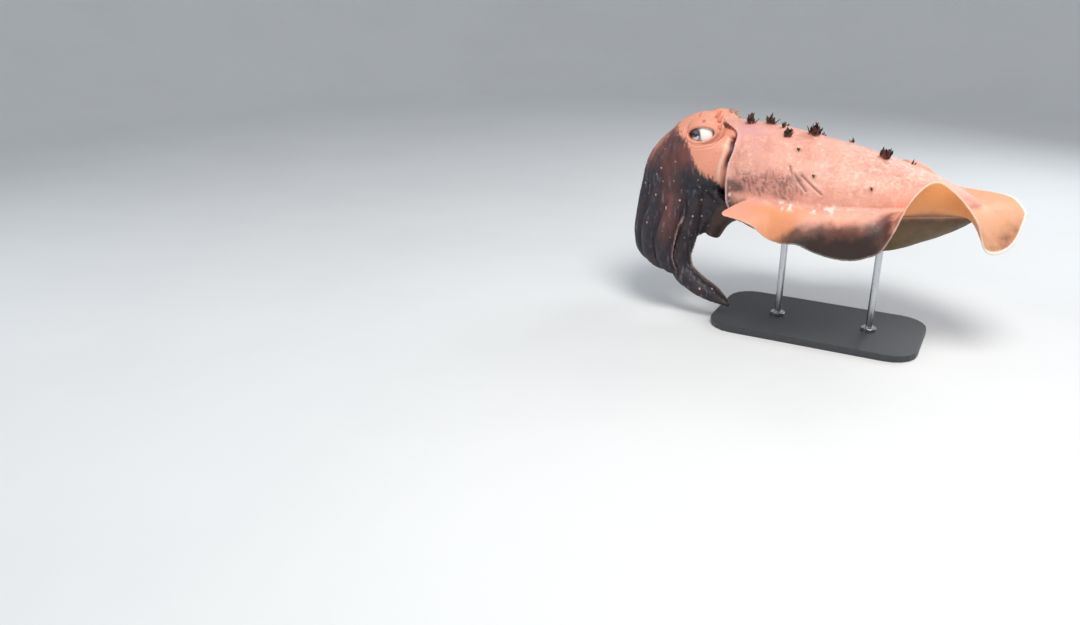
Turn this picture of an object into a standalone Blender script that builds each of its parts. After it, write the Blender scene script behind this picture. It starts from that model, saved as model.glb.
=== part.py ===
"""Giant Australian cuttlefish, a life-size still model that swims over a plain display stand.

Metres, +Z up. The head is at -X, the tail at +X, and the animal's left side faces -Y.
The origin is the centre of the stand's underside.
The animal is built level round its own middle, then tipped and lifted onto the stand.
Rows of stations are read by a smooth curve through them, so each row is a real size at one place.
"""

import math

import bmesh
import bpy
import numpy as np
from mathutils import Matrix, Vector
from mathutils.bvhtree import BVHTree

GAP = 0.0003
HALF_GAP = 0.00015
MERGE = 0.000004
SWIM_HEIGHT = 0.190
SWIM_PITCH = 2.5

# Mantle: share of its length, half width, height over the fin line, depth under it.
MANTLE_FRONT_X = -0.140
MANTLE_LENGTH = 0.337
MANTLE_STATIONS = (
    (0.0, 0.066, 0.104, 0.050),
    (0.1, 0.076, 0.100, 0.060),
    (0.2, 0.082, 0.095, 0.067),
    (0.35, 0.084, 0.085, 0.071),
    (0.5, 0.082, 0.074, 0.073),
    (0.6, 0.077, 0.066, 0.073),
    (0.7, 0.069, 0.058, 0.068),
    (0.8, 0.060, 0.049, 0.058),
    (0.9, 0.051, 0.040, 0.048),
    (1.0, 0.043, 0.032, 0.038),
)
TAIL_ROUNDING = 6.0
# Front margin: sine of the turn round the section, and how far back the edge lies there.
MARGIN_STATIONS = (
    (-1.0, 0.018),
    (-0.5, 0.013),
    (0.0, 0.004),
    (0.4, 0.005),
    (0.7, 0.011),
    (0.88, 0.006),
    (1.0, -0.020),
)
FIN_LINE_FRONT_Z = 0.015
FIN_LINE_SLOPE = -0.006
SECTION_POWER = 2.2
MANTLE_RINGS = 21
MANTLE_SIDES = 28
MARGIN_FADE = 0.22
COLLAR_WALL = 0.0065
COLLAR_DEPTH = 0.020
COLLAR_SPILL = 0.012

# Head: angle round the throat, outer radius, inner radius, half width.
THROAT_X = -0.142
THROAT_Z = 0.000
HEAD_STATIONS = (
    (72.0, 0.090, 0.028, 0.046),
    (90.0, 0.100, 0.022, 0.052),
    (100.0, 0.112, 0.018, 0.056),
    (111.0, 0.135, 0.016, 0.060),
    (122.0, 0.141, 0.016, 0.062),
    (134.0, 0.141, 0.018, 0.061),
    (146.0, 0.142, 0.021, 0.058),
    (158.0, 0.141, 0.025, 0.054),
    (168.0, 0.138, 0.030, 0.050),
)
HEAD_POWER = 2.8
HEAD_RINGS = 14
HEAD_SIDES = 24
EYE_ANGLE = 109.5
EYE_OUT = 0.109
EYE_MOUND = (0.029, 0.027, 0.0245)
EYE_MOUND_Y = 0.037
EYE_Y = 0.0385
EYE_BALL = 0.0200
EYE_SEGMENTS = 14
EYE_RINGS = 8
LID_HALF_LENGTH = 0.0175
LID_HALF_HEIGHT = 0.0098
LID_TILT = 6.0
LID_ROLL = 0.0024
LID_STEPS = 16
LID_SIDES = 5

# Arms: x, y, z of the centreline, half width, half thickness.
# The first row lies on the front of the head. Left and right differ a little in their curl.
ARM_STATIONS = {
    "arm_left_1": (
        (-0.2610, -0.0145, 0.0250, 0.0125, 0.0100),
        (-0.2740, -0.0170, -0.006, 0.0130, 0.0110),
        (-0.2830, -0.0190, -0.036, 0.0134, 0.0110),
        (-0.2860, -0.0200, -0.062, 0.0130, 0.0105),
        (-0.2830, -0.0200, -0.085, 0.0116, 0.0095),
        (-0.2720, -0.0180, -0.101, 0.0085, 0.0070),
        (-0.2560, -0.0160, -0.108, 0.0055, 0.0045),
        (-0.2420, -0.0140, -0.108, 0.0024, 0.0020),
    ),
    "arm_left_2": (
        (-0.2375, -0.0370, 0.0200, 0.0125, 0.0100),
        (-0.2475, -0.0440, -0.010, 0.0130, 0.0110),
        (-0.2570, -0.0490, -0.040, 0.0134, 0.0108),
        (-0.2600, -0.0500, -0.066, 0.0130, 0.0098),
        (-0.2570, -0.0480, -0.088, 0.0112, 0.0085),
        (-0.2460, -0.0430, -0.103, 0.0080, 0.0062),
        (-0.2330, -0.0370, -0.109, 0.0050, 0.0040),
        (-0.2210, -0.0320, -0.110, 0.0024, 0.0020),
    ),
    "arm_left_3": (
        (-0.2120, -0.0370, 0.0150, 0.0125, 0.0100),
        (-0.2210, -0.0470, -0.012, 0.0130, 0.0110),
        (-0.2300, -0.0560, -0.042, 0.0132, 0.0105),
        (-0.2330, -0.0600, -0.068, 0.0126, 0.0095),
        (-0.2310, -0.0610, -0.089, 0.0102, 0.0080),
        (-0.2230, -0.0590, -0.104, 0.0070, 0.0055),
        (-0.2120, -0.0560, -0.112, 0.0024, 0.0020),
    ),
    "arm_left_4": (
        (-0.1900, -0.0160, 0.0100, 0.0122, 0.0100),
        (-0.1930, -0.0240, -0.014, 0.0130, 0.0105),
        (-0.1990, -0.0320, -0.038, 0.0136, 0.0095),
        (-0.2070, -0.0380, -0.064, 0.0142, 0.0088),
        (-0.2100, -0.0410, -0.088, 0.0142, 0.0080),
        (-0.2040, -0.0430, -0.110, 0.0138, 0.0070),
        (-0.1860, -0.0450, -0.128, 0.0130, 0.0060),
        (-0.1600, -0.0460, -0.143, 0.0105, 0.0048),
        (-0.1310, -0.0460, -0.157, 0.0026, 0.0018),
    ),
    "arm_right_1": (
        (-0.2610, 0.0145, 0.0250, 0.0125, 0.0100),
        (-0.2760, 0.0155, -0.0060, 0.0130, 0.0110),
        (-0.2870, 0.0145, -0.0360, 0.0134, 0.0110),
        (-0.2920, 0.0135, -0.0600, 0.0130, 0.0105),
        (-0.2890, 0.0130, -0.0830, 0.0116, 0.0095),
        (-0.2790, 0.0120, -0.0980, 0.0085, 0.0070),
        (-0.2640, 0.0100, -0.1060, 0.0055, 0.0045),
        (-0.2520, 0.0090, -0.1070, 0.0024, 0.0020),
    ),
    "arm_right_2": (
        (-0.2375, 0.0370, 0.0200, 0.0125, 0.0100),
        (-0.2535, 0.0400, -0.0100, 0.0128, 0.0110),
        (-0.2700, 0.0430, -0.0400, 0.0134, 0.0108),
        (-0.2775, 0.0380, -0.0640, 0.0130, 0.0098),
        (-0.2760, 0.0350, -0.0850, 0.0112, 0.0085),
        (-0.2680, 0.0310, -0.1000, 0.0080, 0.0062),
        (-0.2570, 0.0270, -0.1060, 0.0050, 0.0040),
        (-0.2480, 0.0240, -0.1070, 0.0024, 0.0020),
    ),
    "arm_right_3": (
        (-0.2120, 0.0370, 0.0150, 0.0125, 0.0100),
        (-0.2245, 0.0450, -0.0120, 0.0128, 0.0108),
        (-0.2430, 0.0490, -0.0420, 0.0132, 0.0105),
        (-0.2510, 0.0460, -0.0660, 0.0126, 0.0095),
        (-0.2530, 0.0430, -0.0860, 0.0102, 0.0080),
        (-0.2500, 0.0410, -0.1000, 0.0070, 0.0055),
        (-0.2440, 0.0380, -0.1070, 0.0024, 0.0020),
    ),
    "arm_right_4": (
        (-0.1900, 0.0160, 0.0100, 0.0122, 0.0100),
        (-0.1970, 0.0210, -0.0140, 0.0130, 0.0105),
        (-0.2120, 0.0220, -0.0380, 0.0135, 0.0095),
        (-0.2270, 0.0180, -0.0620, 0.0138, 0.0088),
        (-0.2340, 0.0140, -0.0820, 0.0125, 0.0078),
        (-0.2360, 0.0120, -0.1000, 0.0090, 0.0062),
        (-0.2330, 0.0110, -0.1130, 0.0026, 0.0018),
    ),
}
ARM_CUTS = {"arm_left_4": (0.0, 0.36, 0.66, 1.0)}
ARM_CUTS_COMMON = (0.0, 0.5, 1.0)
ARM_LENGTH_NAMES = {2: ("base", "tip"), 3: ("base", "middle", "tip")}
ARM_RINGS = 16
ARM_SIDES = 12
ORAL_DEPTH = 0.50
CROWN_AXIS = ((-0.125, -0.238), (-0.060, -0.244), (0.018, -0.225))
SUCKER_PAIRS = 8
SUCKER_SPAN = (0.09, 0.94)
SUCKER_COLUMNS = (0.62, 0.22)
SUCKER_RADIUS_SHARE = 0.20
SUCKER_HEIGHT_SHARE = 0.75
SUCKER_CUP_SHARE = 0.35
SUCKER_SINK = 0.0008
SUCKER_SIDES = 6

# Skin flaps of the back: share of the mantle's length, turn in degrees, length, number in the tuft.
TUFTS = (
    (0.085, 82, 0.0125, 3),
    (0.145, 90, 0.0120, 3),
    (0.235, 70, 0.0095, 3),
    (0.330, 87, 0.0135, 3),
    (0.615, 82, 0.0125, 3),
    (0.200, 85, 0.0060, 1),
    (0.243, 80, 0.0055, 1),
    (0.300, 54, 0.0055, 1),
    (0.370, 36, 0.0050, 1),
    (0.585, 34, 0.0055, 1),
    (0.170, 118, 0.0100, 2),
    (0.330, 124, 0.0100, 2),
    (0.470, 104, 0.0080, 1),
    (0.520, 138, 0.0060, 1),
    (0.720, 98, 0.0070, 1),
)
TUFT_SPREAD = 0.0052
FLAP_WIDTH_SHARE = 0.80
FLAP_THICKNESS = 0.0024
FLAP_SINK = 0.0022
# Flaps by each eye: x, distance from the middle, z, length, width.
EYE_FLAPS = (
    (-0.1620, 0.0330, 0.1230, 0.0130, 0.0085),
    (-0.1560, 0.0410, 0.1180, 0.0115, 0.0080),
    (-0.1525, 0.0480, 0.1100, 0.0090, 0.0070),
    (-0.1893, 0.0345, 0.1250, 0.0085, 0.0028),
)

# Funnel: x, z of the centreline, half width, half height.
FUNNEL_STATIONS = (
    (-0.104, 0.002, 0.042, 0.0140),
    (-0.126, -0.001, 0.044, 0.0200),
    (-0.149, -0.012, 0.038, 0.0255),
    (-0.167, -0.034, 0.025, 0.0190),
    (-0.179, -0.056, 0.0180, 0.0170),
)
FUNNEL_RINGS = 9
FUNNEL_SIDES = 16
FUNNEL_WALL = 0.0032
FUNNEL_BORE_START = 0.62

MOUTH_RADIUS = 0.0125
MOUTH_REACH = 0.010

# Fins: share of the fin line from its front to the tail,
# then the free edge's offset from that line: along it, outward, up.
FIN_LEFT_EDGE = (
    (0.000, -0.004, 0.0450, -0.0160),
    (0.045, 0.002, 0.0445, -0.0165),
    (0.110, 0.004, 0.0417, -0.0220),
    (0.167, 0.002, 0.0340, -0.0380),
    (0.220, 0.001, 0.0330, -0.0440),
    (0.294, 0.000, 0.0370, -0.0425),
    (0.360, -0.001, 0.0310, -0.0530),
    (0.440, -0.002, 0.0205, -0.0620),
    (0.540, -0.004, 0.0320, -0.0545),
    (0.600, -0.006, 0.0410, -0.0370),
    (0.631, -0.007, 0.0458, -0.0115),
    (0.665, -0.006, 0.0430, 0.0215),
    (0.710, -0.002, 0.0330, 0.0440),
    (0.754, -0.001, 0.0290, 0.0500),
    (0.802, -0.002, 0.0327, 0.0410),
    (0.851, -0.004, 0.0415, 0.0235),
    (0.894, -0.005, 0.0475, -0.0040),
    (0.930, -0.003, 0.0410, -0.0440),
    (0.965, 0.006, 0.0455, -0.0430),
    (1.000, 0.006, 0.0540, -0.0040),
)
FIN_RIGHT_EDGE = (
    (0.000, -0.006, 0.0450, -0.0150),
    (0.060, 0.002, 0.0460, -0.0180),
    (0.150, 0.003, 0.0430, -0.0320),
    (0.240, 0.001, 0.0340, -0.0460),
    (0.330, 0.000, 0.0340, -0.0470),
    (0.410, -0.002, 0.0450, -0.0200),
    (0.470, -0.003, 0.0430, 0.0150),
    (0.540, -0.004, 0.0354, 0.0360),
    (0.609, -0.006, 0.0402, 0.0390),
    (0.665, -0.007, 0.0450, 0.0310),
    (0.720, -0.006, 0.0466, 0.0160),
    (0.786, -0.003, 0.0457, 0.0100),
    (0.850, -0.001, 0.0447, 0.0100),
    (0.923, 0.003, 0.0430, 0.0120),
    (0.960, 0.003, 0.0470, 0.0110),
    (1.000, -0.006, 0.0540, -0.0040),
)
FIN_FIRST_SHARE = 0.06
FIN_ROOT_SINK = 0.010
FIN_BASE_THICKNESS = 0.0075
FIN_EDGE_THICKNESS = 0.0022
FIN_BEND = 0.45
FIN_ROOT_ANGLE = 0.40
FIN_COLUMNS = 39
FIN_ROWS = 5
FIN_CUTS = (0.0, 0.21, 0.41, 0.60, 0.79, 1.0)

STAND_BASE_LENGTH = 0.300
STAND_BASE_WIDTH = 0.170
STAND_BASE_THICKNESS = 0.010
STAND_BASE_CORNER = 0.040
STAND_BASE_EDGE = 0.0015
STAND_ROD_RADIUS = 0.005
STAND_ROD_X = {"stand_rod_front": -0.060, "stand_rod_rear": 0.075}
STAND_ROD_TOP = 0.140
STAND_COLLAR_RADIUS = 0.011
STAND_COLLAR_HEIGHT = 0.004


def clear_scene():
    """Starts from an empty scene."""
    for item in list(bpy.data.objects):
        bpy.data.objects.remove(item)


def make_collection(name):
    """A collection in the scene."""
    made = bpy.data.collections.new(name)
    bpy.context.scene.collection.children.link(made)
    return made


def make_material(name, colour, roughness, metallic=0.0):
    """A plain painted surface."""
    made = bpy.data.materials.new(name)
    made.use_nodes = True
    surface = made.node_tree.nodes["Principled BSDF"]
    surface.inputs["Base Color"].default_value = (*colour, 1.0)
    surface.inputs["Roughness"].default_value = roughness
    surface.inputs["Metallic"].default_value = metallic
    return made


def through(rows, at):
    """Values at each place of a smooth curve through the rows, whose first column is the place."""
    table = np.array(rows, float)
    place, value = table[:, 0], table[:, 1:]
    slope = np.gradient(value, place, axis=0)
    at = np.atleast_1d(np.asarray(at, float))
    i = np.clip(np.searchsorted(place, at) - 1, 0, len(place) - 2)
    step = (place[i + 1] - place[i])[:, None]
    t = (at[:, None] - place[i][:, None]) / step
    return (
        (2 * t**3 - 3 * t**2 + 1) * value[i]
        + (t**3 - 2 * t**2 + t) * step * slope[i]
        + (-2 * t**3 + 3 * t**2) * value[i + 1]
        + (t**3 - t**2) * step * slope[i + 1]
    )


def unit(vectors):
    """Each vector at length one."""
    vectors = np.asarray(vectors, float)
    length = np.linalg.norm(vectors, axis=-1, keepdims=True)
    return vectors / np.maximum(length, 1e-12)


def signed_power(value, power):
    """A power that keeps the sign."""
    return np.sign(value) * np.abs(value) ** power


def new_object(name, points, faces, material=None):
    """A mesh object whose faces point outwards. Without a material it is a cutter."""
    mesh = bpy.data.meshes.new(name)
    mesh.from_pydata([tuple(p) for p in points], [], faces)
    form = bmesh.new()
    form.from_mesh(mesh)
    bmesh.ops.recalc_face_normals(form, faces=form.faces)
    form.to_mesh(mesh)
    form.free()
    made = bpy.data.objects.new(name, mesh)
    if material is None:
        CUTTERS.objects.link(made)
        made.hide_render = True
        made.display_type = "WIRE"
    else:
        mesh.materials.append(material)
        mesh.shade_smooth()
        BODY.objects.link(made)
    return made


def loft(name, rings, material=None):
    """A closed solid through rings of points, each ring in the same order."""
    rings = np.asarray(rings, float)
    count, sides = rings.shape[:2]
    points = np.concatenate([rings.reshape(-1, 3), [rings[0].mean(axis=0), rings[-1].mean(axis=0)]])
    first, last = count * sides, count * sides + 1
    faces = []
    for j in range(sides):
        k = (j + 1) % sides
        for i in range(count - 1):
            row = i * sides
            faces.append((row + j, row + k, row + sides + k, row + sides + j))
        faces.append((first, k, j))
        faces.append((last, first - sides + j, first - sides + k))
    return new_object(name, points, faces, material)


def apply_modifiers(made):
    """Leaves the object with its evaluated mesh and no modifiers."""
    bpy.context.view_layer.update()
    graph = bpy.context.evaluated_depsgraph_get()
    mesh = bpy.data.meshes.new_from_object(made.evaluated_get(graph))
    old = made.data
    made.modifiers.clear()
    made.data = mesh
    bpy.data.meshes.remove(old)


def keep_largest(made):
    """Keeps only the object's largest closed surface, in triangles."""
    form = bmesh.new()
    form.from_mesh(made.data)
    left = set(form.verts)
    islands = []
    while left:
        seed = left.pop()
        island, front = {seed}, [seed]
        while front:
            for link in front.pop().link_edges:
                found = [vert for vert in link.verts if vert in left]
                left.difference_update(found)
                island.update(found)
                front.extend(found)
        islands.append(island)
    islands.sort(key=len)
    for island in islands[:-1]:
        bmesh.ops.delete(form, geom=list(island), context="VERTS")
    bmesh.ops.remove_doubles(form, verts=form.verts, dist=MERGE)
    bmesh.ops.dissolve_degenerate(form, edges=form.edges, dist=MERGE)
    bmesh.ops.triangulate(form, faces=form.faces)
    form.to_mesh(made.data)
    form.free()


def grown(made, by=GAP):
    """A cutter with the shape of the object, grown along its normals."""
    copy = bpy.data.objects.new(made.name + "_grown", made.data.copy())
    CUTTERS.objects.link(copy)
    copy.hide_render = True
    copy.display_type = "WIRE"
    copy.matrix_world = made.matrix_world
    grow = copy.modifiers.new("grow", "DISPLACE")
    grow.strength = by
    grow.mid_level = 0.0
    apply_modifiers(copy)
    return copy


def cut(made, cutter):
    """Takes the cutter out of the object."""
    boolean = made.modifiers.new("cut", "BOOLEAN")
    boolean.operation = "DIFFERENCE"
    boolean.object = cutter
    apply_modifiers(made)
    keep_largest(made)


def fuse(made, pieces):
    """Joins the pieces to the object with one union, and removes them."""
    if not pieces:
        return
    group = make_collection(made.name + "_pieces")
    for piece in pieces:
        for holder in list(piece.users_collection):
            holder.objects.unlink(piece)
        group.objects.link(piece)
    boolean = made.modifiers.new("fuse", "BOOLEAN")
    boolean.operation = "UNION"
    boolean.operand_type = "COLLECTION"
    boolean.collection = group
    apply_modifiers(made)
    for piece in pieces:
        bpy.data.objects.remove(piece)
    bpy.data.collections.remove(group)
    keep_largest(made)


def fin_line_z(share):
    """Height of the line where the fins grow."""
    return FIN_LINE_FRONT_Z + FIN_LINE_SLOPE * share


def mantle_sizes(share):
    """Half width, height and depth of the mantle at each share of its length."""
    share = np.clip(share, 0.0, 1.0)
    closing = np.sqrt(np.maximum(0.0, 1 - share**TAIL_ROUNDING))
    return through(MANTLE_STATIONS, share) * closing[:, None]


def mantle_points(share, turn, inset=0.0):
    """Points of the mantle's skin. Turn runs round the section from the left fin line over the back."""
    share, turn = np.broadcast_arrays(np.asarray(share, float), np.asarray(turn, float))
    shape = share.shape
    share, turn = share.ravel(), turn.ravel()
    width, height, depth = mantle_sizes(share).T - inset
    rise = np.sin(turn)
    power = 2 / SECTION_POWER
    y = -width * signed_power(np.cos(turn), power)
    z = fin_line_z(np.clip(share, 0, 1)) + np.where(rise > 0, height, depth) * signed_power(rise, power)
    margin = through(MARGIN_STATIONS, rise)[:, 0]
    fade = np.clip(1 - np.maximum(share, 0) / MARGIN_FADE, 0, 1) ** 2
    x = MANTLE_FRONT_X + MANTLE_LENGTH * share + margin * fade
    return np.stack([x, y, z], axis=-1).reshape(*shape, 3)


def make_mantle():
    """The muscular sac of the body, open at the front round the neck."""
    spread = np.linspace(0, 1, MANTLE_RINGS)
    share = 0.9985 * (1 - (1 - spread) ** 1.5)
    turn = np.linspace(0, 2 * np.pi, MANTLE_SIDES, endpoint=False)
    made = loft("mantle", mantle_points(share[:, None], turn[None, :]), SKIN)
    places = np.array([-COLLAR_SPILL, 0.0, 0.6 * COLLAR_DEPTH, COLLAR_DEPTH]) / MANTLE_LENGTH
    insets = np.array([1.0, 1.0, 1.05, 1.6]) * COLLAR_WALL
    cut(made, loft("collar_hollow", [mantle_points(p, turn, i) for p, i in zip(places, insets)]))
    return made


def make_flap(foot, rise, wide, length, width):
    """A leaf of skin that stands on its foot, thins to its tip and leans over a little."""
    thin = np.cross(rise, wide)
    turn = np.linspace(0, 2 * np.pi, 6, endpoint=False)
    rings = []
    for share, spread in ((0.0, 0.85), (0.60, 1.0), (1.0, 0.14)):
        up = share * (length + FLAP_SINK) - FLAP_SINK
        across = 0.5 * width * spread * np.cos(turn)[:, None] * wide
        depth = 0.5 * FLAP_THICKNESS * (1 - 0.6 * share) * np.sin(turn)[:, None] * thin
        rings.append(foot + up * rise + 0.18 * length * share**2 * thin + across + depth)
    return loft("flap", rings)


def make_tufts():
    """The tufts of flaps along the back."""
    flaps = []
    for share, turn, length, count in TUFTS:
        turned = math.radians(turn)
        foot = mantle_points(share, turned)
        ahead = unit(mantle_points(share + 0.01, turned) - foot)
        around = unit(mantle_points(share, turned + 0.03) - foot)
        rise = unit(np.cross(ahead, around))
        if np.dot(rise, foot - np.array([foot[0], 0.0, 0.02])) < 0:
            rise = -rise
        for i in range(count):
            spin = math.radians(25 + 120 * i)
            away = math.cos(spin) * ahead + math.sin(spin) * around
            wide = -math.sin(spin) * ahead + math.cos(spin) * around
            offset = away * TUFT_SPREAD * (count > 1)
            stand = unit(rise + 0.25 * away * (count > 1))
            wide = unit(wide - np.dot(wide, stand) * stand)
            grow = length * (1.0, 0.8, 0.9)[i]
            flaps.append(make_flap(foot + offset, stand, wide, grow, grow * FLAP_WIDTH_SHARE))
    return flaps


def make_eye_flaps(skin):
    """Flat flaps behind each eye and a thin spike over it."""
    flaps = []
    for side in (-1, 1):
        for x, y, z, length, width in EYE_FLAPS:
            foot = np.array(skin.find_nearest(Vector((x, side * y, z)))[0])
            stand = unit(np.array([0.30, side * 0.30, 0.90]))
            wide = np.array([0.95, side * 0.1, -0.2])
            wide = unit(wide - np.dot(wide, stand) * stand)
            flaps.append(make_flap(foot, stand, wide, length, width))
    return flaps


def head_points(angle, turn):
    """Points of the head's skin. Angle runs round the throat, turn round the section from the left."""
    angle, turn = np.broadcast_arrays(np.asarray(angle, float), np.asarray(turn, float))
    shape = angle.shape
    angle, turn = angle.ravel(), turn.ravel()
    outer, inner, width = through(HEAD_STATIONS, angle).T
    power = 2 / HEAD_POWER
    radius = (outer + inner) / 2 + (outer - inner) / 2 * signed_power(np.sin(turn), power)
    across = -signed_power(np.cos(turn), power)
    turned = np.radians(angle)
    x = THROAT_X + radius * np.cos(turned)
    z = THROAT_Z + radius * np.sin(turned)
    return np.stack([x, across * width, z], axis=-1).reshape(*shape, 3)


def eye_centre(side):
    """Centre of the eyeball on this side, -1 for the left."""
    turned = math.radians(EYE_ANGLE)
    return Vector((THROAT_X + EYE_OUT * math.cos(turned), side * EYE_Y, THROAT_Z + EYE_OUT * math.sin(turned)))


def make_mound(side):
    """The mound of flesh that holds one eye."""
    form = bmesh.new()
    bmesh.ops.create_uvsphere(form, u_segments=EYE_SEGMENTS, v_segments=EYE_RINGS, radius=1.0)
    bmesh.ops.scale(form, verts=form.verts, vec=EYE_MOUND)
    centre = eye_centre(side)
    bmesh.ops.translate(form, verts=form.verts, vec=(centre.x, side * EYE_MOUND_Y, centre.z))
    mesh = bpy.data.meshes.new("mound")
    form.to_mesh(mesh)
    form.free()
    made = bpy.data.objects.new("mound", mesh)
    CUTTERS.objects.link(made)
    return made


def lid_outline(side, swell, steps=LID_STEPS):
    """The edge of the lids seen from the side, as x and z."""
    centre = eye_centre(side)
    turn = np.linspace(0, 2 * np.pi, steps, endpoint=False)
    tilt = math.radians(LID_TILT)
    along = (LID_HALF_LENGTH + swell) * np.cos(turn)
    up = (LID_HALF_HEIGHT + swell) * np.sin(turn)
    x = centre.x + along * math.cos(tilt) - up * math.sin(tilt)
    z = centre.z + along * math.sin(tilt) + up * math.cos(tilt)
    return x, z


def make_lid(skin, side):
    """The raised fold round the opening of one eye."""
    x, z = lid_outline(side, LID_ROLL * 0.6)
    path = []
    for px, pz in zip(x, z):
        hit = skin.ray_cast(Vector((px, side * 0.2, pz)), Vector((0, -side, 0)))[0]
        path.append(hit)
    path = np.array(path)
    middle = path.mean(axis=0)
    outward = unit(path - middle)
    turn = np.linspace(0, 2 * np.pi, LID_SIDES, endpoint=False)
    rings = [
        p + LID_ROLL * (np.cos(turn)[:, None] * o + np.sin(turn)[:, None] * np.array([0, side, 0]))
        for p, o in zip(path, outward)
    ]
    points = np.concatenate(rings)
    faces = []
    for i in range(LID_STEPS):
        n = (i + 1) % LID_STEPS
        for j in range(LID_SIDES):
            k = (j + 1) % LID_SIDES
            faces.append((i * LID_SIDES + j, i * LID_SIDES + k, n * LID_SIDES + k, n * LID_SIDES + j))
    return new_object("lid", points, faces)


def make_head():
    """The head with the bulge of each eye, from the neck inside the mantle to the ring of the arms."""
    angle = np.linspace(HEAD_STATIONS[0][0], HEAD_STATIONS[-1][0], HEAD_RINGS)
    turn = np.linspace(0, 2 * np.pi, HEAD_SIDES, endpoint=False)
    made = loft("head", head_points(angle[:, None], turn[None, :]), SKIN)
    fuse(made, [make_mound(side) for side in (-1, 1)])
    skin = BVHTree.FromObject(made, bpy.context.evaluated_depsgraph_get())
    fuse(made, [make_lid(skin, side) for side in (-1, 1)])
    for side in (-1, 1):
        x, z = lid_outline(side, 0.0, LID_STEPS + 5)
        rings = [np.stack([x, np.full_like(x, side * y), z], axis=-1) for y in (EYE_Y, EYE_Y + 0.04)]
        cut(made, loft("lid_opening", rings))
    return made


def make_eye(side, name):
    """The eyeball behind the lids."""
    form = bmesh.new()
    bmesh.ops.create_uvsphere(form, u_segments=EYE_SEGMENTS, v_segments=EYE_RINGS, radius=EYE_BALL)
    bmesh.ops.translate(form, verts=form.verts, vec=eye_centre(side))
    mesh = bpy.data.meshes.new(name)
    form.to_mesh(mesh)
    form.free()
    mesh.shade_smooth()
    mesh.materials.append(EYE)
    made = bpy.data.objects.new(name, mesh)
    BODY.objects.link(made)
    return made


def face_frame():
    """Centre of the head's front, the way across its height, and the way the arms leave it."""
    turned = math.radians(HEAD_STATIONS[-1][0])
    rise = np.array([math.cos(turned), 0.0, math.sin(turned)])
    leave = np.array([-math.sin(turned), 0.0, math.cos(turned)])
    middle = (HEAD_STATIONS[-1][1] + HEAD_STATIONS[-1][2]) / 2
    return np.array([THROAT_X, 0.0, THROAT_Z]) + rise * middle, rise, leave


class Arm:
    """The surface of one arm along its curved centreline."""

    def __init__(self, name):
        rows = np.array(ARM_STATIONS[name])
        middle, _, leave = face_frame()
        off = np.dot(rows[0, :3] - middle, leave)
        rows[0, :3] += (GAP - off) * leave
        length = np.concatenate([[0], np.cumsum(np.linalg.norm(np.diff(rows[:, :3], axis=0), axis=1))])
        self.name = name
        self.length = length[-1]
        self.rows = np.column_stack([length / length[-1], rows])

    def frames(self, share):
        """Centre, tangent, oral way, side way, half width and half thickness at each share."""
        share = np.atleast_1d(share)
        values = through(self.rows, share)
        step = 1e-3
        ahead = through(self.rows, np.clip(share + step, 0, 1))[:, :3]
        behind = through(self.rows, np.clip(share - step, 0, 1))[:, :3]
        along = unit(ahead - behind)
        leave = face_frame()[2]
        blend = np.clip(1 - share / 0.08, 0, 1)[:, None]
        along = unit(along * (1 - blend) + leave * blend)
        axis_x = np.interp(values[:, 2], *zip(*CROWN_AXIS))
        inward = np.stack([axis_x, np.zeros_like(axis_x), values[:, 2]], axis=-1) - values[:, :3]
        inward -= np.sum(inward * along, axis=1)[:, None] * along
        oral = unit(inward)
        return values[:, :3], along, oral, np.cross(along, oral), values[:, 3], values[:, 4]

    def rings(self, share, sides=ARM_SIDES):
        """Rings of points round the arm, rounded outside and flattened on the sucker face."""
        centre, _, oral, side, width, thick = self.frames(share)
        turn = np.linspace(0, 2 * np.pi, sides, endpoint=False)
        inner = np.sin(turn) > 1e-9
        across = np.where(inner, signed_power(np.cos(turn), 0.6), np.cos(turn))
        deep = np.where(inner, ORAL_DEPTH * signed_power(np.sin(turn), 0.6), np.sin(turn))
        return (
            centre[:, None, :]
            + (width[:, None] * across[None, :])[..., None] * side[:, None, :]
            + (thick[:, None] * deep[None, :])[..., None] * oral[:, None, :]
        )


def make_suckers(arm, start, end):
    """Small cups in four columns on the inner face of the arm, staggered, down to its tip."""
    share = np.linspace(*SUCKER_SPAN, SUCKER_PAIRS)
    column = np.array([SUCKER_COLUMNS[i % 2] for i in range(SUCKER_PAIRS)])
    inside = (share > start + 0.03) & (share < end - 0.02)
    share, column = share[inside], column[inside]
    centre, along, oral, side, width, thick = arm.frames(share)
    turn = np.linspace(0, 2 * np.pi, SUCKER_SIDES, endpoint=False)
    cups = []
    for i in range(len(share)):
        radius = SUCKER_RADIUS_SHARE * width[i]
        height = SUCKER_HEIGHT_SHARE * radius
        ring = np.cos(turn)[:, None] * along[i] + np.sin(turn)[:, None] * side[i]
        for hand in (-1, 1):
            drop = (1 - column[i] ** (1 / 0.6 * 2)) ** 0.3
            foot = centre[i] + hand * column[i] * width[i] * side[i] + ORAL_DEPTH * thick[i] * drop * oral[i]
            levels = ((0.75, -SUCKER_SINK), (1.0, height))
            points = [foot + radius * r * ring + h * oral[i] for r, h in levels]
            points = np.concatenate([*points, [foot - SUCKER_SINK * oral[i]], [foot + height * SUCKER_CUP_SHARE * oral[i]]])
            low, high = 2 * SUCKER_SIDES, 2 * SUCKER_SIDES + 1
            faces = []
            for j in range(SUCKER_SIDES):
                k = (j + 1) % SUCKER_SIDES
                faces.append((j, k, SUCKER_SIDES + k, SUCKER_SIDES + j))
                faces.append((low, k, j))
                faces.append((high, SUCKER_SIDES + j, SUCKER_SIDES + k))
            cups.append(new_object("sucker", points, faces))
    return cups


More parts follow.
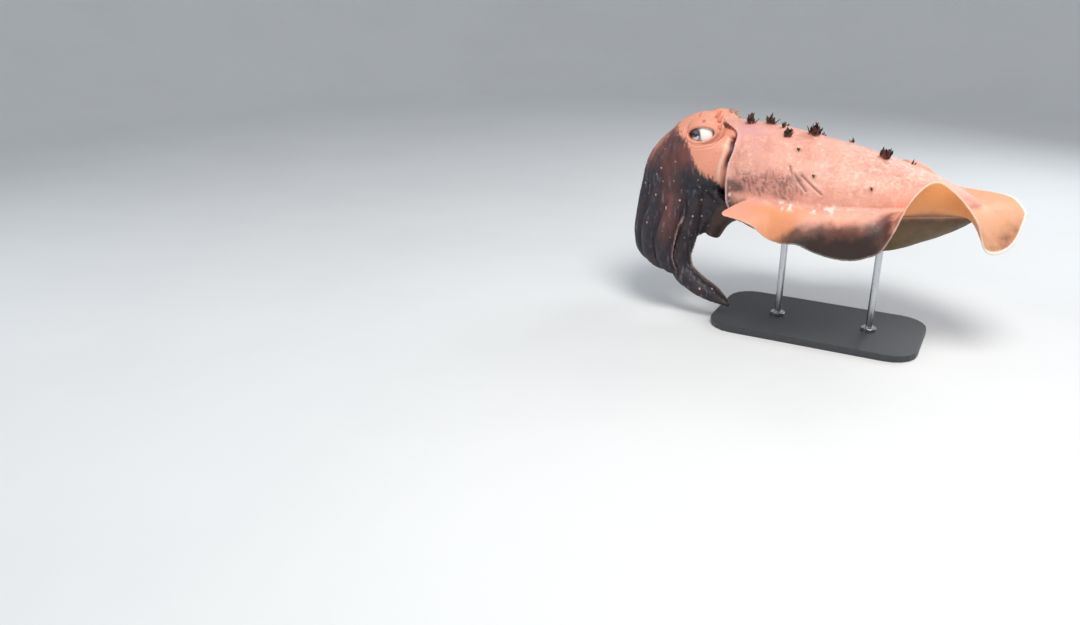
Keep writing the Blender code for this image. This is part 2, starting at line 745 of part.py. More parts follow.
def make_arm(name):
    """One arm in its lengths, each with the suckers of its own stretch."""
    arm = Arm(name)
    cuts = ARM_CUTS.get(name, ARM_CUTS_COMMON)
    made = []
    for i, label in enumerate(ARM_LENGTH_NAMES[len(cuts) - 1]):
        start = cuts[i] + (HALF_GAP / arm.length if i else 0.0)
        end = cuts[i + 1] - (HALF_GAP / arm.length if i < len(cuts) - 2 else 0.0)
        count = max(5, round(ARM_RINGS * (end - start)))
        length = loft(f"{name}_{label}", arm.rings(np.linspace(start, end, count)), ARM)
        fuse(length, make_suckers(arm, cuts[i], cuts[i + 1]))
        made.append(length)
    return made


def make_mouth():
    """The lips round the beak, hidden between the roots of the arms."""
    middle, rise, leave = face_frame()
    across = np.array([0.0, 1.0, 0.0])
    turn = np.linspace(0, 2 * np.pi, 16, endpoint=False)
    ring = np.cos(turn)[:, None] * across + np.sin(turn)[:, None] * rise
    profile = ((1.0, 0.0), (1.0, 0.35), (0.86, 0.75), (0.60, 1.0), (0.38, 0.92), (0.26, 0.55))
    rings = [middle + ring * MOUTH_RADIUS * r + leave * (GAP + MOUTH_REACH * h) for r, h in profile]
    return loft("mouth", rings, MOUTH)


def funnel_rings(share, shrink=0.0, sides=FUNNEL_SIDES):
    """Rings of points round the funnel."""
    rows = np.array(FUNNEL_STATIONS)
    length = np.concatenate([[0], np.cumsum(np.linalg.norm(np.diff(rows[:, :2], axis=0), axis=1))])
    table = np.column_stack([length / length[-1], rows])
    share = np.atleast_1d(share)
    values = through(table, share)
    along = unit(through(table, share + 1e-3)[:, :2] - through(table, share - 1e-3)[:, :2])
    turn = np.linspace(0, 2 * np.pi, sides, endpoint=False)
    width = (values[:, 2] - shrink)[:, None] * np.cos(turn)[None, :]
    height = (values[:, 3] - shrink)[:, None] * np.sin(turn)[None, :]
    x = values[:, 0][:, None] - along[:, 1][:, None] * height
    z = values[:, 1][:, None] + along[:, 0][:, None] * height
    return np.stack([x, width, z], axis=-1)


def make_funnel():
    """The jet funnel under the neck, with its opening towards the arms."""
    made = loft("funnel", funnel_rings(np.linspace(0, 1, FUNNEL_RINGS)), FLESH_DARK)
    bore = np.linspace(FUNNEL_BORE_START, 1.06, 6)
    cut(made, loft("funnel_bore", funnel_rings(bore, FUNNEL_WALL)))
    return made


class FinLine:
    """The line round the mantle where one fin grows, and the fin's surface out from it."""

    def __init__(self, side, edge):
        fine = FIN_FIRST_SHARE + (1 - FIN_FIRST_SHARE) * (1 - (1 - np.linspace(0, 1, 3000)) ** 2)
        line = mantle_points(fine, 0.0)
        line[:, 1] *= -side
        step = np.linalg.norm(np.diff(line[:, :2], axis=0), axis=1)
        self.place = np.concatenate([[0], np.cumsum(step)])
        self.length = self.place[-1]
        self.place /= self.length
        self.line = line
        self.side = side
        self.edge = edge

    def base(self, share):
        """Points on the line, the way along it and the way outward, both level."""
        point = np.stack([np.interp(share, self.place, self.line[:, i]) for i in range(3)], axis=-1)
        step = 0.012
        low, high = np.clip(share - step, 0, 1), np.clip(share + step, 0, 1)
        ahead = np.stack([np.interp(high, self.place, self.line[:, i]) for i in range(2)], axis=-1)
        behind = np.stack([np.interp(low, self.place, self.line[:, i]) for i in range(2)], axis=-1)
        along = unit(ahead - behind)
        tail = np.array([0.0, -self.side])
        blend = np.clip((share - 0.94) / 0.06, 0, 1)[:, None] ** 2
        along = unit(along * (1 - blend) + tail * blend)
        out = np.stack([-along[:, 1], along[:, 0]], axis=-1) * self.side
        flat = np.zeros((len(share), 1))
        return point, np.hstack([along, flat]), np.hstack([out, flat])

    def middle(self, share, reach):
        """Points of the fin's middle surface, from inside the mantle (reach below 0) to the edge (1)."""
        share, reach = np.broadcast_arrays(share, reach)
        shape = share.shape
        share, reach = share.ravel(), reach.ravel()[:, None]
        point, along, out = self.base(share)
        offset = through(self.edge, share)
        edge = offset[:, :1] * along + offset[:, 1:2] * out + offset[:, 2:3] * np.array([0, 0, 1.0])
        size = np.linalg.norm(edge, axis=1)[:, None]
        rise = np.arcsin(np.clip(offset[:, 2:3] / size, -1, 1)) * FIN_ROOT_ANGLE
        level = unit(offset[:, :1] * along + offset[:, 1:2] * out)
        start = np.cos(rise) * level + np.sin(rise) * np.array([0, 0, 1.0])
        bend = FIN_BEND * size * start
        t = np.maximum(reach, 0)
        curve = 2 * t * (1 - t) * bend + t**2 * edge
        root = np.minimum(reach, 0) * FIN_ROOT_SINK * start
        return (point + curve + root).reshape(*shape, 3)

    def faces(self, share, reach):
        """Points of the upper and the lower face of the fin."""
        share, reach = share[:, None], reach[None, :]
        step = 1e-3
        middle = self.middle(share, reach)
        along = self.middle(share + step, reach) - self.middle(share - step, reach)
        across = self.middle(share, reach + step) - self.middle(share, reach - step)
        tail = np.array([0.0, -self.side, 0.0])
        blend = np.clip((share - 0.95) / 0.05, 0, 1)[..., None]
        normal = unit(np.cross(unit(along) * (1 - blend) + tail * blend, across)) * self.side
        thin = FIN_BASE_THICKNESS + (FIN_EDGE_THICKNESS - FIN_BASE_THICKNESS) * np.clip(reach, 0, 1) ** 0.8
        return middle + normal * thin[..., None] / 2, middle - normal * thin[..., None] / 2


def make_fin_length(name, line, start, end, body):
    """One length of a fin, in triangles that match on its two faces."""
    columns = max(4, round(FIN_COLUMNS * (end - start))) + 1
    reach = np.concatenate([[-1.0], np.linspace(0.0, 1.0, FIN_ROWS)])
    upper, lower = line.faces(np.linspace(start, end, columns), reach)
    rows = len(reach)
    points = np.concatenate([upper.reshape(-1, 3), lower.reshape(-1, 3)])
    under = columns * rows
    faces = []
    for i in range(columns - 1):
        for j in range(rows - 1):
            a, b = i * rows + j, i * rows + j + 1
            c, d = a + rows, b + rows
            for shift in (0, under):
                faces.append((a + shift, b + shift, d + shift))
                faces.append((a + shift, d + shift, c + shift))
    rim = [(i * rows + rows - 1, (i + 1) * rows + rows - 1) for i in range(columns - 1)]
    rim += [(i * rows, (i + 1) * rows) for i in range(columns - 1)]
    rim += [(j, j + 1) for j in range(rows - 1)]
    rim += [((columns - 1) * rows + j, (columns - 1) * rows + j + 1) for j in range(rows - 1)]
    for a, b in rim:
        faces.append((a, b, b + under))
        faces.append((a, b + under, a + under))
    made = new_object(name, points, faces, FIN)
    cut(made, body)
    return made


def make_fin(prefix, side, edge, body):
    """One fin in its lengths, from behind the collar to the tail."""
    line = FinLine(side, edge)
    lengths = []
    for i in range(len(FIN_CUTS) - 1):
        start = FIN_CUTS[i] + (HALF_GAP / line.length if i else 0.0)
        end = FIN_CUTS[i + 1] - HALF_GAP / line.length
        lengths.append(make_fin_length(f"{prefix}_{i + 1}", line, start, end, body))
    return lengths


def make_stand(body):
    """A flat base and two rods up to the belly."""
    mesh = bpy.data.meshes.new("stand_base")
    form = bmesh.new()
    outline = []
    for cx, cy, start in ((1, 1, 0), (-1, 1, 90), (-1, -1, 180), (1, -1, 270)):
        for step in range(6):
            turned = math.radians(start + step * 18)
            x = cx * (STAND_BASE_LENGTH / 2 - STAND_BASE_CORNER) + STAND_BASE_CORNER * math.cos(turned)
            y = cy * (STAND_BASE_WIDTH / 2 - STAND_BASE_CORNER) + STAND_BASE_CORNER * math.sin(turned)
            outline.append(form.verts.new((x, y, 0)))
    plate = form.faces.new(outline)
    raised = bmesh.ops.extrude_face_region(form, geom=[plate])
    top = [v for v in raised["geom"] if isinstance(v, bmesh.types.BMVert)]
    bmesh.ops.translate(form, verts=top, vec=(0, 0, STAND_BASE_THICKNESS))
    bmesh.ops.recalc_face_normals(form, faces=form.faces)
    form.to_mesh(mesh)
    form.free()
    mesh.materials.append(STEEL)
    base = bpy.data.objects.new("stand_base", mesh)
    BODY.objects.link(base)
    edge = base.modifiers.new("edge", "BEVEL")
    edge.width = STAND_BASE_EDGE
    edge.segments = 2
    edge.limit_method = "ANGLE"
    edge.angle_limit = math.radians(50)
    apply_modifiers(base)
    turn = np.linspace(0, 2 * np.pi, 24, endpoint=False)
    ring = np.stack([np.cos(turn), np.sin(turn), np.zeros_like(turn)], axis=-1)
    foot = STAND_BASE_THICKNESS + GAP
    profile = (
        (STAND_COLLAR_RADIUS, foot),
        (STAND_COLLAR_RADIUS, foot + STAND_COLLAR_HEIGHT * 0.8),
        (STAND_COLLAR_RADIUS * 0.93, foot + STAND_COLLAR_HEIGHT),
        (STAND_ROD_RADIUS, foot + STAND_COLLAR_HEIGHT),
        (STAND_ROD_RADIUS, STAND_ROD_TOP + 0.03),
    )
    for name, x in STAND_ROD_X.items():
        place = np.array([x, 0, 0])
        rod = loft(name, [ring * r + place + np.array([0, 0, z]) for r, z in profile], ROD)
        cut(rod, body)


def place(items):
    """Tips the animal to its swimming angle and lifts it to its height."""
    tip = Matrix.Rotation(math.radians(-SWIM_PITCH), 4, "Y")
    lift = Matrix.Translation((0, 0, SWIM_HEIGHT))
    for item in items:
        item.data.transform(lift @ tip)


clear_scene()
BODY = make_collection("cuttlefish")
CUTTERS = make_collection("cutters")
SKIN = make_material("skin", (0.62, 0.30, 0.22), 0.55)
FIN = make_material("fin", (0.80, 0.42, 0.20), 0.50)
ARM = make_material("arm", (0.075, 0.045, 0.050), 0.45)
FLESH_DARK = make_material("funnel_skin", (0.16, 0.08, 0.06), 0.50)
MOUTH = make_material("lips", (0.45, 0.25, 0.20), 0.45)
EYE = make_material("eye", (0.02, 0.02, 0.03), 0.10)
STEEL = make_material("stand_steel", (0.05, 0.05, 0.055), 0.45)
ROD = make_material("stand_rod_steel", (0.60, 0.60, 0.62), 0.25, 1.0)

mantle = make_mantle()
head = make_head()
funnel = make_funnel()
eyes = [make_eye(-1, "eye_left"), make_eye(1, "eye_right")]
for eye in eyes:
    cut(head, grown(eye))
cut(funnel, grown(head))
cut(mantle, grown(head))
cut(mantle, grown(funnel))
mantle_cutter = grown(mantle)
fuse(mantle, make_tufts())
head_skin = BVHTree.FromObject(head, bpy.context.evaluated_depsgraph_get())
fuse(head, make_eye_flaps(head_skin))
make_mouth()
for arm_name in ARM_STATIONS:
    make_arm(arm_name)
make_fin("fin_left", -1, FIN_LEFT_EDGE, mantle_cutter)
make_fin("fin_right", 1, FIN_RIGHT_EDGE, mantle_cutter)
place(list(BODY.objects) + [mantle_cutter])
make_stand(mantle_cutter)
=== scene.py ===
"""Looks of a life-size giant cuttlefish model that swims over a plain display stand.

Metres, +Z up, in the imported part's frame. The animal is laid out level round its own middle, with its
head at -X and its left side at -Y, then tipped and lifted onto the stand by Pose.
The flesh is one skin: closed patches are fused on a fine grid, smoothed, and given relief and masks.
"""

import logging
import math
from dataclasses import dataclass, field
from enum import Enum, IntEnum

import bmesh
import bpy
import numpy as np
from mathutils import Euler, Matrix, Vector
from mathutils.bvhtree import BVHTree
from mathutils.kdtree import KDTree

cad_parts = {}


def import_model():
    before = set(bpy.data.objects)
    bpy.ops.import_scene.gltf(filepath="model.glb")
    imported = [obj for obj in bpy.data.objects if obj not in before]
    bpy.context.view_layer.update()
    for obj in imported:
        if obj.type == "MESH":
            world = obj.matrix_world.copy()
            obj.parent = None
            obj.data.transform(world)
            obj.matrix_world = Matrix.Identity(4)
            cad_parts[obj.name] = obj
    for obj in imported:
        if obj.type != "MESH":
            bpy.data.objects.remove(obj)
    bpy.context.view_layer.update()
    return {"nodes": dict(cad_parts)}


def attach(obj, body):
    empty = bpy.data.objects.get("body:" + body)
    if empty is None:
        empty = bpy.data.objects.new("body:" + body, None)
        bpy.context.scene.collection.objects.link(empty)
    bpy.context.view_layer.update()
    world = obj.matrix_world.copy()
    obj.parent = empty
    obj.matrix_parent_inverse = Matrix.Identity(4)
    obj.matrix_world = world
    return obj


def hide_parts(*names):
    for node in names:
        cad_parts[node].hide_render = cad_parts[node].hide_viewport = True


LOG = logging.getLogger("cuttlefish")
Array = np.ndarray
Values = Array | float
Triple = tuple[float, float, float]
Colour = Triple
Rows = tuple[tuple[float, ...], ...]
Piece = bpy.types.Object
Mesh = bpy.types.Mesh
Material = bpy.types.Material
NodeTree = bpy.types.ShaderNodeTree
Socket = bpy.types.NodeSocket
NOISE_TABLE = 8192
NOISE_PRIMES = (73856093, 19349663, 83492791)


class Region(IntEnum):
    """What a point of the skin belongs to."""

    MANTLE = 0
    HEAD = 1
    FUNNEL = 2
    ARM = 3
    FIN = 4
    KEEL = 5


class Side(IntEnum):
    """A side of the animal, as the sign of its Y."""

    LEFT = -1
    RIGHT = 1


class Slot(Enum):
    """The record's material slots."""

    SKIN = "mantle_skin"
    ARM = "arm_skin"
    LIPS = "lips"
    EYE = "eye"


def through(rows: Rows | Array, at: Array) -> Array:
    """Reads a smooth curve through rows of sizes.

    Args:
        rows: Rows whose first column is the place and whose others are sizes there.
        at: The places to read.

    Returns:
        One row of sizes for each place.
    """
    table = np.array(rows, float)
    place, value = table[:, 0], table[:, 1:]
    slope = np.gradient(value, place, axis=0)
    at = np.atleast_1d(np.asarray(at, float))
    i = np.clip(np.searchsorted(place, at) - 1, 0, len(place) - 2)
    step = (place[i + 1] - place[i])[:, None]
    t = (at[:, None] - place[i][:, None]) / step
    return (
        (2 * t**3 - 3 * t**2 + 1) * value[i]
        + (t**3 - 2 * t**2 + t) * step * slope[i]
        + (-2 * t**3 + 3 * t**2) * value[i + 1]
        + (t**3 - t**2) * step * slope[i + 1]
    )


def unit(vectors: Array) -> Array:
    """Returns each vector at length one."""
    vectors = np.asarray(vectors, float)
    length = np.linalg.norm(vectors, axis=-1, keepdims=True)
    return vectors / np.maximum(length, 1e-12)


def signed_power(value: Array, power: float) -> Array:
    """Returns a power that keeps the sign."""
    return np.sign(value) * np.abs(value) ** power


def step_up(low: float, high: float, value: Array) -> Array:
    """Returns 0 below low, 1 above high and a smooth rise between, or a fall where low is above high."""
    t = np.clip((np.asarray(value, float) - low) / (high - low), 0, 1)
    return t * t * (3 - 2 * t)


def bell(value: Array, middle: float, width: float) -> Array:
    """Returns a smooth bump of height one."""
    return np.exp(-(((np.asarray(value, float) - middle) / width) ** 2))


def bumps(points: Array, size: float | Triple, seed: int, layers: int = 1) -> Array:
    """Smooth seeded noise in space.

    Args:
        points: Points, one to a row.
        size: The width of its widest bumps, alike on every axis or one for each axis.
        seed: Which noise.
        layers: How many widths of bump it has, each half as wide and half as high as the last.

    Returns:
        A value from -1 to 1 for each point.
    """
    total = np.zeros(len(points))
    for layer in range(layers):
        scaled = points / (np.asarray(size, float) / 2**layer)
        cell = np.floor(scaled).astype(np.int64)
        part = scaled - cell
        part = part * part * (3 - 2 * part)
        table = np.random.default_rng(seed + layer).uniform(-1, 1, NOISE_TABLE) / 2**layer
        for corner in np.ndindex(2, 2, 2):
            keys = (cell + corner) * NOISE_PRIMES
            weight = np.prod(np.where(corner, part, 1 - part), axis=1)
            total += weight * table[(keys[:, 0] ^ keys[:, 1] ^ keys[:, 2]) % NOISE_TABLE]
    return total / (2 - 2 ** (1 - layers))


def turns(count: int) -> Array:
    """Returns angles spread evenly round a circle."""
    return np.linspace(0, 2 * np.pi, count, endpoint=False)


def lengths(points: Array) -> Array:
    """Returns how far along a line each of its points is."""
    return np.concatenate([[0], np.cumsum(np.linalg.norm(np.diff(points, axis=0), axis=1))])


def tube(middle: Array, across: Array, over: Array, wide: Array, high: Array) -> Array:
    """Lays rings round a line.

    Args:
        middle: The line's points.
        across: The way across at each point, or one way.
        over: The way over at each point, or one way.
        wide: How far across each ring's points are, as rings by sides.
        high: How far over, in the same way.

    Returns:
        Points as rings by sides by 3.
    """
    middle, across, over = (np.atleast_2d(value)[:, None, :] for value in (middle, across, over))
    return middle + wide[..., None] * across + high[..., None] * over


@dataclass(frozen=True)
class Pose:
    """How the level animal stands in the part's frame."""

    lift: float = 0.190
    pitch: float = 2.5

    def matrix(self) -> Matrix:
        """Returns the move from the level animal to its place on the stand."""
        return Matrix.Translation((0, 0, self.lift)) @ Matrix.Rotation(math.radians(-self.pitch), 4, "Y")


@dataclass
class Patch:
    """A closed surface, and the region, place along, place round and face of each of its points."""

    points: Array
    faces: list[tuple[int, ...]]
    marks: Array


def loft(rings: Array, region: Region, along: Values = 0, around: Values = 0, face: Values = 0) -> Patch:
    """Closes a tube of rings with a fan at each end.

    Args:
        rings: Points as rings by sides by 3.
        region: What the tube belongs to.
        along: Place along it, for all its points or for each.
        around: Place round it.
        face: Which face, or another value of its own.

    Returns:
        The closed patch.
    """
    count, sides = rings.shape[:2]
    marks = np.zeros((count, sides, 4))
    for i, values in enumerate((region, along, around, face)):
        marks[..., i] = values
    points = np.concatenate([rings.reshape(-1, 3), [rings[0].mean(axis=0), rings[-1].mean(axis=0)]])
    flags = np.concatenate([marks.reshape(-1, 4), [marks[0].mean(axis=0), marks[-1].mean(axis=0)]])
    first, last = count * sides, count * sides + 1
    faces: list[tuple[int, ...]] = []
    for j in range(sides):
        k = (j + 1) % sides
        for row in range(0, first - sides, sides):
            faces.append((row + j, row + k, row + sides + k, row + sides + j))
        faces.append((first, k, j))
        faces.append((last, first - sides + j, first - sides + k))
    return Patch(points, faces, flags)


@dataclass(frozen=True)
class Mantle:
    """The muscular sac of the body, with the pocket round the neck."""

    front_x: float = -0.140
    length: float = 0.337
    stations: Rows = (
        (0.0, 0.066, 0.104, 0.046),
        (0.1, 0.076, 0.100, 0.055),
        (0.2, 0.082, 0.095, 0.063),
        (0.35, 0.084, 0.085, 0.071),
        (0.5, 0.082, 0.074, 0.073),
        (0.6, 0.077, 0.066, 0.073),
        (0.7, 0.069, 0.058, 0.068),
        (0.8, 0.060, 0.049, 0.058),
        (0.9, 0.051, 0.040, 0.048),
        (1.0, 0.043, 0.032, 0.038),
    )
    tail_rounding: float = 6.0
    margin: Rows = (
        (-1.0, 0.018),
        (-0.5, 0.013),
        (0.0, 0.004),
        (0.4, 0.005),
        (0.7, 0.011),
        (0.88, 0.006),
        (1.0, -0.020),
    )
    margin_fade: float = 0.22
    line_z: float = 0.015
    line_slope: float = -0.006
    power: float = 2.2
    rings: int = 190
    sides: int = 240
    flare: float = 0.0016
    flare_reach: float = 0.014
    last_share: float = 0.9985
    lip: Rows = (
        (-0.0010, -0.0012),
        (-0.0042, -0.0006),
        (-0.0050, 0.0006),
        (-0.0020, 0.0018),
        (0.014, 0.0044),
        (0.034, 0.0066),
        (0.066, 0.0105),
    )

    def points(self, share: Array, turn: Array, inset: float = 0.0) -> Array:
        """Points of the skin.

        Args:
            share: Share of the length from the front margin to the tail.
            turn: Turn round the section in radians, from the left fin line over the back.
            inset: How far inside the skin.

        Returns:
            Points with the shape of share and turn together.
        """
        share, turn = np.broadcast_arrays(share, turn)
        shape = share.shape
        share, turn = share.ravel(), turn.ravel()
        inside = np.clip(share, 0.0, 1.0)
        closing = np.sqrt(np.maximum(0.0, 1 - inside**self.tail_rounding))
        flare = self.flare * bell(share, 0.0, self.flare_reach) * (inset == 0)
        width, height, depth = (through(self.stations, inside) * closing[:, None]).T - inset + flare
        rise = np.sin(turn)
        power = 2 / self.power
        tall = np.where(rise > 0, height, depth) * signed_power(rise, power)
        z = self.line_z + self.line_slope * inside + tall
        y = -width * signed_power(np.cos(turn), power)
        fade = np.clip(1 - np.maximum(share, 0) / self.margin_fade, 0, 1) ** 2
        x = self.front_x + self.length * share + through(self.margin, rise)[:, 0] * fade
        return np.stack([x, y, z], axis=-1).reshape(*shape, 3)

    def patch(self) -> Patch:
        """Returns the sac, rolled in at its front margin to a pocket round the neck."""
        spread = np.linspace(0, 1, self.rings)
        share = (self.last_share * (1 - (1 - spread) ** 1.5))[::-1]
        turn = turns(self.sides)
        outer = self.points(share[:, None], turn[None, :])
        inner = np.stack([self.points(place, turn, inset) for place, inset in self.lip])
        along = np.concatenate([share, [place for place, _ in self.lip]])[:, None]
        face = np.concatenate([np.ones(len(share)), -np.ones(len(self.lip))])[:, None]
        face[len(share) : len(share) + 3] = 0.0
        return loft(np.concatenate([outer, inner]), Region.MANTLE, along, np.sin(turn), face)


@dataclass(frozen=True)
class Head:
    """The head, bent down round the throat, with a mound for each eye."""

    throat_x: float = -0.142
    stations: Rows = (
        (46.0, 0.078, 0.036, 0.034),
        (60.0, 0.084, 0.032, 0.040),
        (72.0, 0.090, 0.028, 0.046),
        (90.0, 0.100, 0.022, 0.052),
        (100.0, 0.112, 0.018, 0.056),
        (111.0, 0.135, 0.016, 0.060),
        (122.0, 0.141, 0.016, 0.062),
        (134.0, 0.1395, 0.018, 0.061),
        (146.0, 0.1390, 0.021, 0.058),
        (158.0, 0.1410, 0.025, 0.054),
        (168.0, 0.1405, 0.030, 0.050),
    )
    power: float = 2.8
    rings: int = 130
    sides: int = 150
    cap_angle: float = 3.0
    cap_rings: int = 9
    eye_angle: float = 109.5
    eye_out: float = 0.109
    eye_y: float = 0.0374
    eye_ball: float = 0.0222
    mound: Triple = (0.0285, 0.0255, 0.0240)
    mound_y: float = 0.037
    nape: Triple = (0.0230, 0.0360, 0.0135)
    nape_place: Triple = (-0.1400, 0.0, 0.0970)
    ball_grid: tuple[int, int] = (40, 56)

    def spot(self, angle: Values, radius: Values, y: Values) -> Array:
        """Places points round the throat.

        Args:
            angle: Angle round it in degrees.
            radius: Distance from it.
            y: How far to the right of the middle.

        Returns:
            The points.
        """
        turned = np.radians(angle)
        x = self.throat_x + radius * np.cos(turned)
        return np.stack(np.broadcast_arrays(x, y, radius * np.sin(turned)), axis=-1)

    def points(self, angle: Array, turn: Array, shrink: Array) -> Array:
        """Points of the skin.

        Args:
            angle: Angle round the throat in degrees.
            turn: Turn round the section in radians.
            shrink: Size of the section as a share of its own.

        Returns:
            Points with the shape of all three together.
        """
        angle, turn, shrink = np.broadcast_arrays(angle, turn, shrink)
        shape = angle.shape
        angle, turn, shrink = angle.ravel(), turn.ravel(), shrink.ravel()
        outer, inner, width = through(self.stations, np.minimum(angle, self.stations[-1][0])).T
        power = 2 / self.power
        radius = (outer + inner) / 2 + shrink * (outer - inner) / 2 * signed_power(np.sin(turn), power)
        across = -signed_power(np.cos(turn), power) * shrink
        return self.spot(angle, radius, across * width).reshape(*shape, 3)

    def middle(self, angle: Values) -> Array:
        """Returns the middle of the section at each angle."""
        outer, inner, _ = through(self.stations, angle).T
        return self.spot(angle, (outer + inner) / 2, 0.0)

    def eye(self, side: Side) -> Array:
        """Returns the centre of an eyeball."""
        return self.spot(self.eye_angle, self.eye_out, side * self.eye_y)

    def patches(self) -> list[Patch]:
        """Returns the head with its two mounds and its nape."""
        first, last = self.stations[0][0], self.stations[-1][0]
        close = np.linspace(0, 1, self.cap_rings + 1)[1:-1]
        angle = np.linspace(first, last, self.rings)
        angle = np.concatenate([angle, last + self.cap_angle * close])[:, None]
        shrink = np.concatenate([np.ones(self.rings), np.sqrt(1 - close**2)])[:, None]
        turn = turns(self.sides)
        rings = self.points(angle, turn[None, :], shrink)
        made = [loft(rings, Region.HEAD, angle, np.sin(turn))]
        balls = [(self.nape, np.array(self.nape_place))]
        for side in Side:
            balls.append((self.mound, self.spot(self.eye_angle, self.eye_out, side * self.mound_y)))
        for size, centre in balls:
            rings = ball_rings(*self.ball_grid) * np.array(size) + centre
            made.append(loft(rings, Region.HEAD, self.eye_angle))
        return made


def ball_rings(count: int, sides: int) -> Array:
    """Rings of points of a ball of radius one, without its poles.

    Args:
        count: How many rings.
        sides: How many points in a ring.

    Returns:
        Points as rings by sides by 3.
    """
    rise = np.linspace(-np.pi / 2, np.pi / 2, count + 2)[1:-1, None]
    turn = turns(sides)[None, :]
    x = np.cos(rise) * np.cos(turn)
    y = np.cos(rise) * np.sin(turn)
    return np.stack(np.broadcast_arrays(x, y, np.sin(rise)), axis=-1)


@dataclass(frozen=True)
class Funnel:
    """The jet funnel under the neck: x, z, half width and half height along it."""

    stations: Rows = (
        (-0.104, 0.002, 0.042, 0.0140),
        (-0.126, -0.001, 0.044, 0.0200),
        (-0.149, -0.012, 0.038, 0.0255),
        (-0.167, -0.034, 0.025, 0.0190),
        (-0.179, -0.056, 0.0180, 0.0170),
    )
    wall: float = 0.0032
    bore_start: float = 0.55
    bore_rings: int = 12
    rings: int = 60
    sides: int = 100

    def rings_at(self, share: Array, shrink: Values) -> Array:
        """Rings of points round the tube.

        Args:
            share: Each ring's share of the length.
            shrink: How far each is drawn in.

        Returns:
            Points as rings by sides by 3.
        """
        rows = np.array(self.stations)
        length = lengths(rows[:, :2])
        table = np.column_stack([length / length[-1], rows])
        x, z, width, height = through(table, share).T[:, :, None]
        along = unit(through(table, share + 1e-3)[:, :2] - through(table, share - 1e-3)[:, :2])
        turn = turns(self.sides)[None, :]
        shrink = np.broadcast_to(shrink, share.shape)[:, None]
        up = (height - shrink) * np.sin(turn)
        y = (width - shrink) * np.cos(turn)
        return np.stack([x - along[:, 1:] * up, y, z + along[:, :1] * up], axis=-1)

    def patch(self) -> Patch:
        """Returns the tube, rolled in at its mouth to its bore."""
        depth = np.linspace(0.96, self.bore_start, self.bore_rings)
        share = np.concatenate([np.linspace(0, 1, self.rings), [1.008, 1.008, 0.995], depth])
        shrink = np.concatenate([np.zeros(self.rings), [0.0008, 0.0022], np.full(len(depth) + 1, self.wall)])
        inside = np.concatenate([np.zeros(self.rings + 2), np.ones(len(depth) + 1)])[:, None]
        return loft(self.rings_at(share, shrink), Region.FUNNEL, share[:, None], 0, inside)


